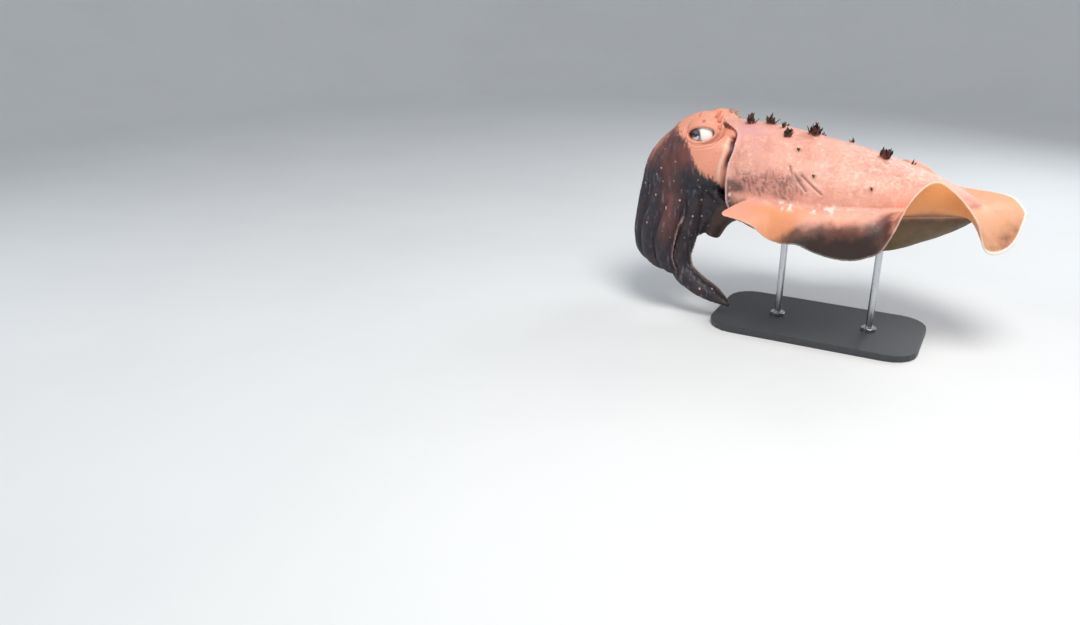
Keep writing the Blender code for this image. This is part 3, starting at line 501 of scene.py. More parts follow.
ARM_RISES = {
    1: ((131.0, 0.1310, 0.0130, 0.0090), (145.0, 0.1325, 0.0140, 0.0102), (158.0, 0.1350, 0.0147, 0.0106)),
    2: ((131.0, 0.1140, 0.0450, 0.0080), (144.0, 0.1130, 0.0485, 0.0100), (157.0, 0.1070, 0.0450, 0.0108)),
    3: ((133.0, 0.0830, 0.0525, 0.0070), (145.0, 0.0800, 0.0510, 0.0098), (157.0, 0.0765, 0.0458, 0.0108)),
    4: ((124.0, 0.0520, 0.0520, 0.0060), (138.0, 0.0500, 0.0470, 0.0085), (153.0, 0.0490, 0.0360, 0.0100)),
}
ARM_KEELS = {
    Side.LEFT: (0.0, 0.0018, 0.0022, 0.0035),
    Side.RIGHT: (0.0, 0.0018, 0.0022, 0.0030),
}
ARM_ROWS = {
    (Side.LEFT, 1): (
        (-0.2725, -0.0150, 0.0250, 0.0134, 0.0112),
        (-0.2785, -0.0170, -0.006, 0.0134, 0.0114),
        (-0.2830, -0.0190, -0.036, 0.0138, 0.0112),
        (-0.2860, -0.0200, -0.062, 0.0132, 0.0105),
        (-0.2830, -0.0200, -0.085, 0.0116, 0.0095),
        (-0.2720, -0.0180, -0.101, 0.0085, 0.0070),
        (-0.2560, -0.0160, -0.108, 0.0055, 0.0045),
        (-0.2420, -0.0140, -0.108, 0.0024, 0.0020),
    ),
    (Side.LEFT, 2): (
        (-0.2430, -0.0395, 0.0200, 0.0138, 0.0112),
        (-0.2475, -0.0440, -0.010, 0.0138, 0.0114),
        (-0.2570, -0.0490, -0.040, 0.0140, 0.0110),
        (-0.2600, -0.0500, -0.066, 0.0134, 0.0098),
        (-0.2570, -0.0480, -0.088, 0.0114, 0.0085),
        (-0.2460, -0.0430, -0.103, 0.0080, 0.0062),
        (-0.2330, -0.0370, -0.109, 0.0050, 0.0040),
        (-0.2210, -0.0320, -0.110, 0.0024, 0.0020),
    ),
    (Side.LEFT, 3): (
        (-0.2150, -0.0400, 0.0150, 0.0138, 0.0112),
        (-0.2210, -0.0470, -0.012, 0.0138, 0.0112),
        (-0.2300, -0.0560, -0.042, 0.0138, 0.0107),
        (-0.2330, -0.0600, -0.068, 0.0130, 0.0095),
        (-0.2310, -0.0610, -0.089, 0.0102, 0.0080),
        (-0.2230, -0.0590, -0.104, 0.0070, 0.0055),
        (-0.2120, -0.0560, -0.112, 0.0024, 0.0020),
    ),
    (Side.LEFT, 4): (
        (-0.1890, -0.0375, 0.0120, 0.0138, 0.0112),
        (-0.1935, -0.0350, -0.014, 0.0136, 0.0110),
        (-0.1990, -0.0365, -0.038, 0.0138, 0.0098),
        (-0.2085, -0.0380, -0.064, 0.0142, 0.0088),
        (-0.2145, -0.0410, -0.088, 0.0142, 0.0080),
        (-0.2095, -0.0430, -0.110, 0.0138, 0.0070),
        (-0.1885, -0.0450, -0.128, 0.0130, 0.0060),
        (-0.1600, -0.0460, -0.143, 0.0105, 0.0048),
        (-0.1310, -0.0460, -0.157, 0.0026, 0.0018),
    ),
    (Side.RIGHT, 1): (
        (-0.2725, 0.0150, 0.0250, 0.0134, 0.0112),
        (-0.2800, 0.0155, -0.006, 0.0134, 0.0114),
        (-0.2870, 0.0145, -0.036, 0.0138, 0.0112),
        (-0.2920, 0.0135, -0.060, 0.0132, 0.0105),
        (-0.2890, 0.0130, -0.083, 0.0116, 0.0095),
        (-0.2790, 0.0120, -0.098, 0.0085, 0.0070),
        (-0.2640, 0.0100, -0.106, 0.0055, 0.0045),
        (-0.2520, 0.0090, -0.107, 0.0024, 0.0020),
    ),
    (Side.RIGHT, 2): (
        (-0.2430, 0.0395, 0.0200, 0.0138, 0.0112),
        (-0.2535, 0.0405, -0.010, 0.0136, 0.0114),
        (-0.2700, 0.0430, -0.040, 0.0138, 0.0110),
        (-0.2775, 0.0380, -0.064, 0.0132, 0.0098),
        (-0.2760, 0.0350, -0.085, 0.0112, 0.0085),
        (-0.2680, 0.0310, -0.100, 0.0080, 0.0062),
        (-0.2570, 0.0270, -0.106, 0.0050, 0.0040),
        (-0.2480, 0.0240, -0.107, 0.0024, 0.0020),
    ),
    (Side.RIGHT, 3): (
        (-0.2150, 0.0400, 0.0150, 0.0138, 0.0112),
        (-0.2245, 0.0450, -0.012, 0.0136, 0.0112),
        (-0.2430, 0.0490, -0.042, 0.0136, 0.0107),
        (-0.2510, 0.0460, -0.066, 0.0128, 0.0095),
        (-0.2530, 0.0430, -0.086, 0.0102, 0.0080),
        (-0.2500, 0.0410, -0.100, 0.0070, 0.0055),
        (-0.2440, 0.0380, -0.107, 0.0024, 0.0020),
    ),
    (Side.RIGHT, 4): (
        (-0.1890, 0.0375, 0.0120, 0.0138, 0.0112),
        (-0.1970, 0.0325, -0.014, 0.0134, 0.0110),
        (-0.2120, 0.0270, -0.038, 0.0136, 0.0098),
        (-0.2270, 0.0180, -0.062, 0.0138, 0.0088),
        (-0.2340, 0.0140, -0.082, 0.0125, 0.0078),
        (-0.2360, 0.0120, -0.100, 0.0090, 0.0062),
        (-0.2330, 0.0110, -0.113, 0.0026, 0.0018),
    ),
}


@dataclass
class Arm:
    """The surface of one arm along its curved centreline."""

    side: Side
    pair: int
    head: Head
    crown: Rows = ((-0.125, -0.238), (-0.060, -0.244), (0.018, -0.225))
    oral_depth: float = 0.50
    rings: int = 170
    sides: int = 48
    inner_power: float = 0.6
    keel_thickness: float = 0.0020
    keel_root: float = 0.0012
    press: float = 0.07
    rise_width: float = 0.0116
    keel: float = field(init=False)
    rows: Array = field(init=False)
    base: float = field(init=False)
    length: float = field(init=False)

    def __post_init__(self) -> None:
        """Joins the rise on the head to the free arm and finds where each row lies along it."""
        angle, radius, out, thick = np.array(ARM_RISES[self.pair]).T
        rise = self.head.spot(angle, radius, self.side * out)
        rise = np.column_stack([rise, np.full(len(rise), self.rise_width), thick])
        rows = np.concatenate([rise, np.array(ARM_ROWS[self.side, self.pair])])
        length = lengths(rows[:, :3])
        self.keel = ARM_KEELS[self.side][self.pair - 1]
        self.length = length[-1]
        self.base = length[len(rise)] / self.length
        self.rows = np.column_stack([length / self.length, rows])

    def frames(self, share: Array) -> tuple[Array, ...]:
        """Returns centre, way along, way to the mouth, way across, half width and half thickness."""
        share = np.atleast_1d(share)
        values = through(self.rows, share)
        step = 2e-3
        ahead = through(self.rows, np.clip(share + step, 0, 1))[:, :3]
        behind = through(self.rows, np.clip(share - step, 0, 1))[:, :3]
        along = unit(ahead - behind)
        axis_x = np.interp(values[:, 2], *zip(*self.crown))
        below = np.stack([axis_x, 0 * axis_x, values[:, 2]], axis=-1)
        angle = np.degrees(np.arctan2(values[:, 2], values[:, 0] - self.head.throat_x))
        above = self.head.middle(np.clip(angle, 90, 168))
        blend = step_up(0.0, 0.03, values[:, 2])[:, None]
        inward = below * (1 - blend) + above * blend - values[:, :3]
        inward -= np.sum(inward * along, axis=1)[:, None] * along
        oral = unit(inward)
        return values[:, :3], along, oral, np.cross(along, oral), values[:, 3], values[:, 4]

    def outer_line(self, start: float, stop: float, lift: float, count: int = 60) -> Array:
        """Points along the arm, lifted off its centre outwards, less and less towards its tip.

        Args:
            start: Share of the free length where the line starts, below 0 inside the head.
            stop: Share where it ends.
            lift: How far off the centre at the start, as a share of the half thickness.
            count: How many points.

        Returns:
            The points.
        """
        share = self.base + np.linspace(start, stop, count) * (1 - self.base)
        centre, _, oral, _, _, thick = self.frames(share)
        out = lift * np.linspace(1, 0.15, count)
        return centre - (out * thick)[:, None] * oral

    def patches(self) -> list[Patch]:
        """Returns the arm, and the thin keel along its hinder edge where it has one."""
        share = np.linspace(0, 1, self.rings)
        centre, _, oral, across, width, thick = self.frames(share)
        width = width * (1 + self.press * step_up(1.0, 0.6, share))
        turn = turns(self.sides)
        inner = np.sin(turn) > 1e-9
        wide = np.where(inner, signed_power(np.cos(turn), self.inner_power), np.cos(turn))
        deep = self.oral_depth * signed_power(np.sin(turn), self.inner_power)
        deep = np.where(inner, deep, np.sin(turn))
        start = np.sqrt(np.clip(share / 0.03, 0.02, 1))
        rings = tube(centre, across, oral, (width * start)[:, None] * wide, (thick * start)[:, None] * deep)
        number = self.pair * self.side
        made = [loft(rings, Region.ARM, share[:, None], np.sin(turn), number)]
        if self.keel:
            swell = step_up(self.base, self.base + 0.25, share) * step_up(1.0, 0.88, share)
            reach = 0.5 * self.keel + 0.5 * self.keel * swell
            spot = centre - (self.side * (width * 0.90 + reach * 0.6))[:, None] * across
            spot -= 0.1 * thick[:, None] * oral
            wide = (reach + self.keel_root)[:, None] * np.cos(turn)
            high = self.keel_thickness / 2 * np.sin(turn)[None, :]
            keep = (share > self.base - 0.02) & (share < 0.985)
            rings = tube(spot, -self.side * across, oral, wide, high)[keep]
            made.append(loft(rings, Region.KEEL, share[keep, None], np.cos(turn), number))
        return made


@dataclass
class Web:
    """A thin fold of skin between two lines, each given as rows of points from its root to its end."""

    first: Array
    second: Array
    thick: float
    end_thick: float = 0.0012
    sides: int = 28

    def patch(self) -> Patch:
        """Returns the fold as a tube of flat ellipses."""
        middle, span = (self.first + self.second) / 2, (self.second - self.first) / 2
        over = unit(np.cross(unit(np.gradient(middle, axis=0)), span))
        share = np.linspace(0, 1, len(middle))
        half = self.thick + (self.end_thick - self.thick) * share**1.5
        half *= np.sqrt(np.clip((1.02 - share) / 0.08, 0.05, 1))
        turn = turns(self.sides)[None, :]
        rings = tube(middle, span, over, np.cos(turn), half[:, None] * np.sin(turn))
        return loft(rings, Region.ARM, share[:, None])


@dataclass
class Fin:
    """One fin: the line round the mantle where it grows and the offset of its free edge from that line."""

    side: Side
    mantle: Mantle
    edge: Rows
    first_share: float = 0.06
    root_sink: float = 0.010
    base_thickness: float = 0.0075
    edge_thickness: float = 0.0024
    bend: float = 0.45
    root_angle: float = 0.40
    overlap: float = 0.0012
    trim: float = 0.048
    tongue: float = 0.0215
    tongue_reach: float = 0.11
    corner: float = 0.0075
    length: float = 0.42
    columns: int = 420
    rows: int = 46
    line_points: int = 3000
    line: Array = field(init=False)
    place: Array = field(init=False)

    def __post_init__(self) -> None:
        """Lays out the line along the mantle."""
        spread = 1 - (1 - np.linspace(0, 1, self.line_points)) ** 2
        self.line = self.mantle.points(self.first_share + (1 - self.first_share) * spread, 0.0)
        self.line[:, 1] *= -self.side
        self.place = lengths(self.line[:, :2])
        self.place /= self.place[-1]

    def at(self, share: Array, axes: int) -> Array:
        """Returns points of the line in its first axes."""
        return np.stack([np.interp(share, self.place, self.line[:, i]) for i in range(axes)], axis=-1)

    def middle(self, share: Array, reach: Array) -> Array:
        """Points of the fin's middle surface.

        Args:
            share: Share of the fin's length.
            reach: Share of its width, below 0 inside the mantle and 1 at its free edge.

        Returns:
            Points with the shape of both together.
        """
        share, reach = np.broadcast_arrays(share, reach)
        shape = share.shape
        share, reach = self.rounded(share.ravel(), reach.ravel())
        reach = reach[:, None]
        forward = self.tongue * np.clip(1 - share / self.tongue_reach, 0, 1) ** 2
        share = self.trim + (1 - self.trim) * share
        point = self.at(share, 3)
        along = unit(self.at(share + 0.012, 2) - self.at(share - 0.012, 2))
        blend = np.clip((share - 0.94) / 0.06, 0, 1)[:, None] ** 2
        along = unit(along * (1 - blend) + np.array([0.0, -self.side]) * blend)
        out = np.stack([-along[:, 1], along[:, 0]], axis=-1) * self.side
        flat = np.zeros((len(share), 1))
        along, out = np.hstack([along, flat]), np.hstack([out, flat])
        offset = through(self.edge, share)
        offset[:, 0] -= forward
        up = np.array([0, 0, 1.0])
        edge = offset[:, :1] * along + offset[:, 1:2] * out + offset[:, 2:3] * up
        size = np.linalg.norm(edge, axis=1)[:, None]
        rise = np.arcsin(np.clip(offset[:, 2:3] / size, -1, 1)) * self.root_angle
        level = unit(offset[:, :1] * along + offset[:, 1:2] * out)
        start = np.cos(rise) * level + np.sin(rise) * up
        t = np.maximum(reach, 0)
        curve = 2 * t * (1 - t) * self.bend * size * start + t**2 * edge
        root = np.minimum(reach, 0) * self.root_sink * start
        return (point + curve + root).reshape(*shape, 3)

    def rounded(self, share: Array, reach: Array) -> tuple[Array, Array]:
        """Draws places in at the fin's front corner, which rounds it.

        Args:
            share: Share of the fin's length.
            reach: Share of its width.

        Returns:
            The same, drawn in.
        """
        a = np.clip(1 - share * self.length / self.corner, 0, 1)
        width = np.linalg.norm(self.edge[0][1:])
        b = np.clip(1 - (1 - reach) * width / self.corner, 0, 1)
        near, out = a * np.sqrt(1 - b**2 / 2), b * np.sqrt(1 - a**2 / 2)
        return share + (a - near) * self.corner / self.length, reach - (b - out) * self.corner / width

    def patch(self) -> Patch:
        """Returns the fin as a closed sheet, thin at its free edge."""
        share = np.linspace(0, 1, self.columns)[:, None]
        reach = np.concatenate([np.linspace(-1, 0, 4)[:-1], np.linspace(0, 1, self.rows)])[None, :]
        step = 1e-3
        middle = self.middle(share, reach)
        along = self.middle(share + step, reach) - self.middle(share - step, reach)
        across = self.middle(share, reach + step) - self.middle(share, reach - step)
        blend = np.clip((share - 0.95) / 0.05, 0, 1)[..., None]
        tail = np.array([0.0, -self.side, 0.0])
        normal = unit(np.cross(unit(along) * (1 - blend) + tail * blend, across)) * self.side
        span = self.edge_thickness - self.base_thickness
        thin = self.base_thickness + span * np.clip(reach, 0, 1) ** 0.8
        upper, lower = middle + normal * thin[..., None] / 2, middle - normal * thin[..., None] / 2
        rings = np.concatenate([upper, lower[:, ::-1]], axis=1)
        rings = np.concatenate([rings, rings[-1:] + tail * self.overlap])
        share = self.trim + (1 - self.trim) * np.concatenate([share, [[1.0]]])
        around = np.concatenate([reach, reach[:, ::-1]], axis=1)
        face = np.concatenate([np.ones_like(reach), -np.ones_like(reach)], axis=1)
        return self.close(loft(rings, Region.FIN, share, around, face), *rings.shape[:2])

    def close(self, made: Patch, count: int, sides: int) -> Patch:
        """Changes the fans at a sheet's ends for flat ends, matched across its two faces.

        Args:
            made: The sheet as a tube.
            count: How many rings it has.
            sides: How many points a ring has.

        Returns:
            The same patch.
        """
        made.faces = [face for face in made.faces if max(face) < count * sides]
        for row in (0, (count - 1) * sides):
            for j in range(sides // 2 - 1):
                made.faces.append((row + j, row + j + 1, row + sides - 2 - j, row + sides - 1 - j))
        made.points = made.points[:-2]
        made.marks = made.marks[:-2]
        return made


FIN_LEFT_EDGE = (
    (0.000, -0.004, 0.0450, -0.0160),
    (0.045, 0.002, 0.0445, -0.0125),
    (0.110, 0.004, 0.0417, -0.0195),
    (0.167, 0.002, 0.0340, -0.0380),
    (0.220, 0.001, 0.0330, -0.0440),
    (0.294, 0.000, 0.0370, -0.0425),
    (0.360, -0.001, 0.0310, -0.0530),
    (0.440, -0.002, 0.0205, -0.0620),
    (0.540, -0.004, 0.0320, -0.0545),
    (0.600, -0.006, 0.0410, -0.0370),
    (0.631, -0.007, 0.0458, -0.0115),
    (0.665, -0.006, 0.0430, 0.0215),
    (0.710, -0.002, 0.0330, 0.0440),
    (0.754, -0.001, 0.0290, 0.0500),
    (0.802, -0.002, 0.0327, 0.0410),
    (0.851, -0.004, 0.0415, 0.0235),
    (0.894, -0.005, 0.0475, -0.0040),
    (0.930, -0.003, 0.0410, -0.0440),
    (0.965, 0.006, 0.0455, -0.0430),
    (1.000, 0.006, 0.0540, -0.0040),
)
FIN_RIGHT_EDGE = (
    (0.000, -0.006, 0.0450, -0.0150),
    (0.060, 0.002, 0.0460, -0.0180),
    (0.150, 0.003, 0.0430, -0.0320),
    (0.240, 0.001, 0.0340, -0.0460),
    (0.330, 0.000, 0.0340, -0.0470),
    (0.410, -0.002, 0.0450, -0.0200),
    (0.470, -0.003, 0.0430, 0.0150),
    (0.540, -0.004, 0.0354, 0.0360),
    (0.609, -0.006, 0.0402, 0.0390),
    (0.665, -0.007, 0.0450, 0.0310),
    (0.720, -0.006, 0.0466, 0.0160),
    (0.786, -0.003, 0.0457, 0.0100),
    (0.850, -0.001, 0.0447, 0.0100),
    (0.923, 0.003, 0.0430, 0.0120),
    (0.960, 0.003, 0.0470, 0.0110),
    (1.000, -0.006, 0.0540, -0.0040),
)


@dataclass(frozen=True)
class Lids:
    """The opening of an eye and the folds round it, as sizes of an ellipse seen from the side."""

    half_length: float = 0.0194
    half_height: float = 0.0101
    tilt: float = 8.0
    roll: float = 0.0011
    roll_at: float = 0.0018
    brow: float = 0.0016
    fold_at: float = 0.0066
    fold: float = 0.0006
    folds: Rows = ((0.0, 1.0), (0.0042, 0.7))
    wall: float = 0.0009
    sunk: float = 0.0016

    def distance(self, x: Array, z: Array) -> Array:
        """How far points are outside the opening's edge.

        Args:
            x: How far behind the eye's centre.
            z: How far over it.

        Returns:
            The distances, below 0 in the opening.
        """
        tilt = math.radians(self.tilt)
        along = x * math.cos(tilt) + z * math.sin(tilt)
        up = z * math.cos(tilt) - x * math.sin(tilt)
        rho = np.sqrt((along / self.half_length) ** 2 + (up / self.half_height) ** 2)
        return (rho - 1) * np.hypot(along, up) / np.maximum(rho, 1e-6)


class Net:
    """A mesh as arrays, for smoothing its points or values over its edges."""

    def __init__(self, mesh: Mesh) -> None:
        """Reads the mesh's points and edges."""
        count = len(mesh.vertices)
        self.points = np.zeros(count * 3)
        mesh.vertices.foreach_get("co", self.points)
        self.points = self.points.reshape(-1, 3)
        edges = np.zeros(len(mesh.edges) * 2, np.int32)
        mesh.edges.foreach_get("vertices", edges)
        self.edges = edges.reshape(-1, 2)
        self.links = np.maximum(np.bincount(edges, minlength=count), 1)

    def average(self, values: Array) -> Array:
        """Returns the mean of each point's neighbours."""
        a, b = self.edges.T
        flat = values.reshape(len(values), -1)
        total = np.empty_like(flat)
        for i in range(flat.shape[1]):
            total[:, i] = np.bincount(a, flat[b, i], len(flat)) + np.bincount(b, flat[a, i], len(flat))
        return (total / self.links[:, None]).reshape(values.shape)

    def smooth(self, values: Array, steps: int, weight: Values = 0.5) -> Array:
        """Draws values towards their neighbours, step by step.

        Args:
            values: One value or row for each point.
            steps: How many steps.
            weight: How far towards them in a step, for all points or for each.

        Returns:
            The smoothed values.
        """
        weight = np.asarray(weight, float)
        if values.ndim > 1 and weight.ndim:
            weight = weight[:, None]
        for _ in range(steps):
            values = values + weight * (self.average(values) - values)
        return values

    def relax(self, steps: int) -> None:
        """Smooths the points without shrinking them."""
        for _ in range(steps):
            self.points = self.smooth(self.points, 1, 0.55)
            self.points = self.smooth(self.points, 1, -0.57)


@dataclass(frozen=True)
class TuftPlan:
    """A tuft of skin flaps: its place on the mantle, its length and how many lobes it has."""

    share: float
    turn: float
    length: float
    lobes: int


FULL_TUFT = 0.0135
TUFTS = (
    TuftPlan(0.085, 82, 0.0150, 10),
    TuftPlan(0.145, 90, 0.0150, 10),
    TuftPlan(0.235, 70, 0.0125, 9),
    TuftPlan(0.330, 87, 0.0175, 13),
    TuftPlan(0.615, 82, 0.0160, 12),
    TuftPlan(0.200, 85, 0.0075, 4),
    TuftPlan(0.243, 80, 0.0055, 3),
    TuftPlan(0.300, 54, 0.0055, 3),
    TuftPlan(0.383, 29, 0.0045, 2),
    TuftPlan(0.603, 26, 0.0050, 2),
    TuftPlan(0.170, 118, 0.0100, 7),
    TuftPlan(0.330, 124, 0.0100, 7),
    TuftPlan(0.470, 104, 0.0080, 5),
    TuftPlan(0.520, 138, 0.0060, 3),
    TuftPlan(0.720, 98, 0.0070, 4),
)


@dataclass
class Skin:
    """The whole flesh as one closed mesh."""

    mantle: Mantle = field(default_factory=Mantle)
    head: Head = field(default_factory=Head)
    funnel: Funnel = field(default_factory=Funnel)
    lids: Lids = field(default_factory=Lids)
    arms: list[Arm] = field(init=False)
    fins: list[Fin] = field(init=False)
    voxel: float = 0.0012
    quick_voxel: float = 0.0019
    relax_steps: int = 5
    joint_steps: int = 44
    joint_gain: float = 3.2
    blend_steps: int = 14
    web_reach: Rows = ((1, 1, 0.50), (1, 2, 0.66), (2, 3, 0.68), (3, 4, 0.52))
    web_start: float = -0.12
    web_lift: float = 0.50
    web_thick: float = 0.0052
    flank_thick: float = 0.0060
    flank_end: float = 0.0020
    eye_zone: float = 0.013
    eye_reach: float = 0.045
    eye_side: float = 0.030
    margin_width: float = 0.030
    dark_edge: Rows = (
        (-0.300, 0.170),
        (-0.232, 0.125),
        (-0.2192, 0.1095),
        (-0.2070, 0.0990),
        (-0.1975, 0.0875),
        (-0.1905, 0.0690),
        (-0.1850, 0.0575),
        (-0.1630, 0.0402),
        (-0.1480, 0.0260),
        (-0.1200, 0.0120),
    )
    shade_edge: Rows = (
        (0.16, 1.15),
        (0.22, 0.88),
        (0.27, 0.66),
        (0.365, 0.40),
        (0.49, 0.32),
        (0.56, 0.27),
        (0.62, 0.05),
    )
    shade_end: tuple[float, float] = (0.675, 0.600)
    creases: tuple[Rows, ...] = (
        ((-0.0378, 0.0573), (-0.0302, 0.0475), (-0.0195, 0.0360)),
        ((-0.0270, 0.0555), (-0.0120, 0.0430), (0.0010, 0.0330)),
        ((-0.0455, 0.0665), (-0.0410, 0.0560)),
    )

    def __post_init__(self) -> None:
        """Makes the arms and fins that grow on the head and mantle."""
        self.arms = [Arm(side, pair, self.head) for side, pair in ARM_ROWS]
        self.fins = [
            Fin(Side.LEFT, self.mantle, FIN_LEFT_EDGE),
            Fin(Side.RIGHT, self.mantle, FIN_RIGHT_EDGE),
        ]

    def patches(self) -> list[Patch]:
        """Returns every closed surface that the skin is fused from."""
        made = [self.mantle.patch(), *self.head.patches(), self.funnel.patch()]
        for arm in self.arms:
            made.extend(arm.patches())
        made.extend(fin.patch() for fin in self.fins)
        made.extend(web.patch() for web in self.webs())
        return made

    def webs(self) -> list[Web]:
        """Returns the folds of skin that hold neighbouring arms together, and those beside the funnel."""
        arms = {(arm.side, arm.pair): arm for arm in self.arms}
        made = []
        for first, second, reach in self.web_reach:
            for side in Side:
                if first == second and side is Side.RIGHT:
                    continue
                other = Side.RIGHT if first == second else side
                a = arms[side, first].outer_line(self.web_start, reach, self.web_lift)
                b = arms[other, second].outer_line(self.web_start, reach, self.web_lift)
                made.append(Web(a, b, self.web_thick))
        for side in Side:
            arm = arms[side, 4].outer_line(-0.15, 0.36, -0.1)
            share = np.linspace(0.30, 0.97, len(arm))
            rings = self.funnel.rings_at(share, 0.006)
            flank = rings[:, self.funnel.sides // 2 if side is Side.LEFT else 0]
            made.append(Web(arm, flank, self.flank_thick, self.flank_end))
        return made

    def build(self) -> Piece:
        """Returns the fused, smoothed and carved skin, level, with its masks stored on its points."""
        patches = self.patches()
        made = self.fuse(patches)
        self.refine(made.data)
        net = Net(made.data)
        marks = self.read_marks(net.points, patches)
        weights = np.stack([(marks[:, 0] == region).astype(float) for region in Region], axis=1)
        weights[:, Region.ARM] += weights[:, Region.KEEL]
        wide = net.smooth(weights[:, :5], self.blend_steps)
        joint = np.clip((1 - wide.max(axis=1)) * self.joint_gain, 0, 1)
        net.relax(self.relax_steps)
        net.points = net.smooth(net.points, self.joint_steps, 0.5 * joint)
        self.store(made.data, net.points)
        normals = read_normals(made.data)
        soft = net.smooth(marks[:, 1:], 2)
        places = SkinPlaces(net, normals, marks, soft, net.smooth(weights, 4), self)
        net.points = places.raise_relief()
        self.store(made.data, net.points)
        net.points = self.open_eyes(net.points, read_normals(made.data))
        self.store(made.data, net.points)
        places.net = net
        for name, values in places.masks().items():
            write_mask(made.data, name, values)
        return made

    def fuse(self, patches: list[Patch]) -> Piece:
        """Returns one closed mesh round all the patches."""
        made = add_object("skin", join("skin", patches))
        grid = made.modifiers.new("grid", "REMESH")
        grid.mode = "VOXEL"
        grid.voxel_size = self.voxel
        apply_modifiers(made)
        return made

    def refine(self, mesh: Mesh) -> None:
        """Cuts the faces round the eyes finer, twice."""
        form = bmesh.new()
        form.from_mesh(mesh)
        for zone in (self.eye_zone, self.eye_zone * 0.6):
            edges = []
            for side in Side:
                centre = self.head.eye(side)
                near = [v for v in form.verts if abs(v.co.x - centre[0]) < self.eye_reach]
                near = [v for v in near if v.co.y * side > self.eye_side]
                x = np.array([v.co.x for v in near]) - centre[0]
                z = np.array([v.co.z for v in near]) - centre[2]
                inside = self.lids.distance(x, z) < zone
                chosen = {v for v, take in zip(near, inside) if take}
                touching = {e for v in chosen for e in v.link_edges}
                edges += [e for e in touching if e.verts[0] in chosen and e.verts[1] in chosen]
            bmesh.ops.subdivide_edges(form, edges=edges, cuts=1, use_grid_fill=True)
        form.to_mesh(mesh)
        form.free()

    def read_marks(self, points: Array, patches: list[Patch]) -> Array:
        """Reads each point's marks off the nearest point of the patches.

        Args:
            points: The skin's points.
            patches: What it was fused from.

        Returns:
            A row of marks for each point.
        """
        source = np.concatenate([patch.points for patch in patches])
        marks = np.concatenate([patch.marks for patch in patches])
        tree = KDTree(len(source))
        for i, point in enumerate(source.tolist()):
            tree.insert(point, i)
        tree.balance()
        nearest = [tree.find(point)[1] for point in points.tolist()]
        return marks[nearest]

    def store(self, mesh: Mesh, points: Array) -> None:
        """Writes points back to the mesh."""
        mesh.vertices.foreach_set("co", points.ravel())
        mesh.update()

    def open_eyes(self, points: Array, normals: Array) -> Array:
        """Rolls up the lids round each eye and sinks the opening behind the eyeball.

        Args:
            points: The skin's points.
            normals: Their normals.

        Returns:
            The points, moved.
        """
        lids, points = self.lids, points.copy()
        for side in Side:
            centre = self.head.eye(side)
            x, z = points[:, 0] - centre[0], points[:, 2] - centre[2]
            near = (np.hypot(x, z) < self.eye_reach) & (points[:, 1] * side > self.eye_side)
            away = lids.distance(x, z)
            above = step_up(-0.004, 0.010, z + 0.25 * x)
            lift = lids.roll * bell(away, lids.roll_at, 0.0015)
            lift += lids.brow * above * bell(away, lids.roll_at + 0.0010, 0.0026)
            wavy = away + 0.0012 * bumps(points, 0.009, 101)
            broken = 0.55 + 0.6 * bumps(points, 0.012, 102)
            for step, share in lids.folds:
                lift -= share * lids.fold * broken * bell(wavy, lids.fold_at + step, 0.0009)
                lift += 0.6 * share * lids.fold * bell(wavy, lids.fold_at + step + 0.0022, 0.0016)
            shaped = points + lift[:, None] * normals
            depth = np.sqrt(np.maximum(self.head.eye_ball**2 - x**2 - z**2, 0))
            depth += self.head.eye_y - lids.sunk
            sink = step_up(lids.wall * 0.2, -lids.wall, away)
            shaped[:, 1] = side * (shaped[:, 1] * side * (1 - sink) + depth * sink)
            points[near] = shaped[near]
        return points


RELIEF = (
    (Region.MANTLE, 0.0006, 0.024, 11, 3),
    (Region.MANTLE, 0.00022, 0.006, 12, 2),
    (Region.HEAD, 0.0005, 0.017, 41, 3),
    (Region.ARM, 0.00030, 0.0048, 52, 2),
    (Region.FUNNEL, 0.0004, (0.006, 0.006, 0.016), 61, 3),
)


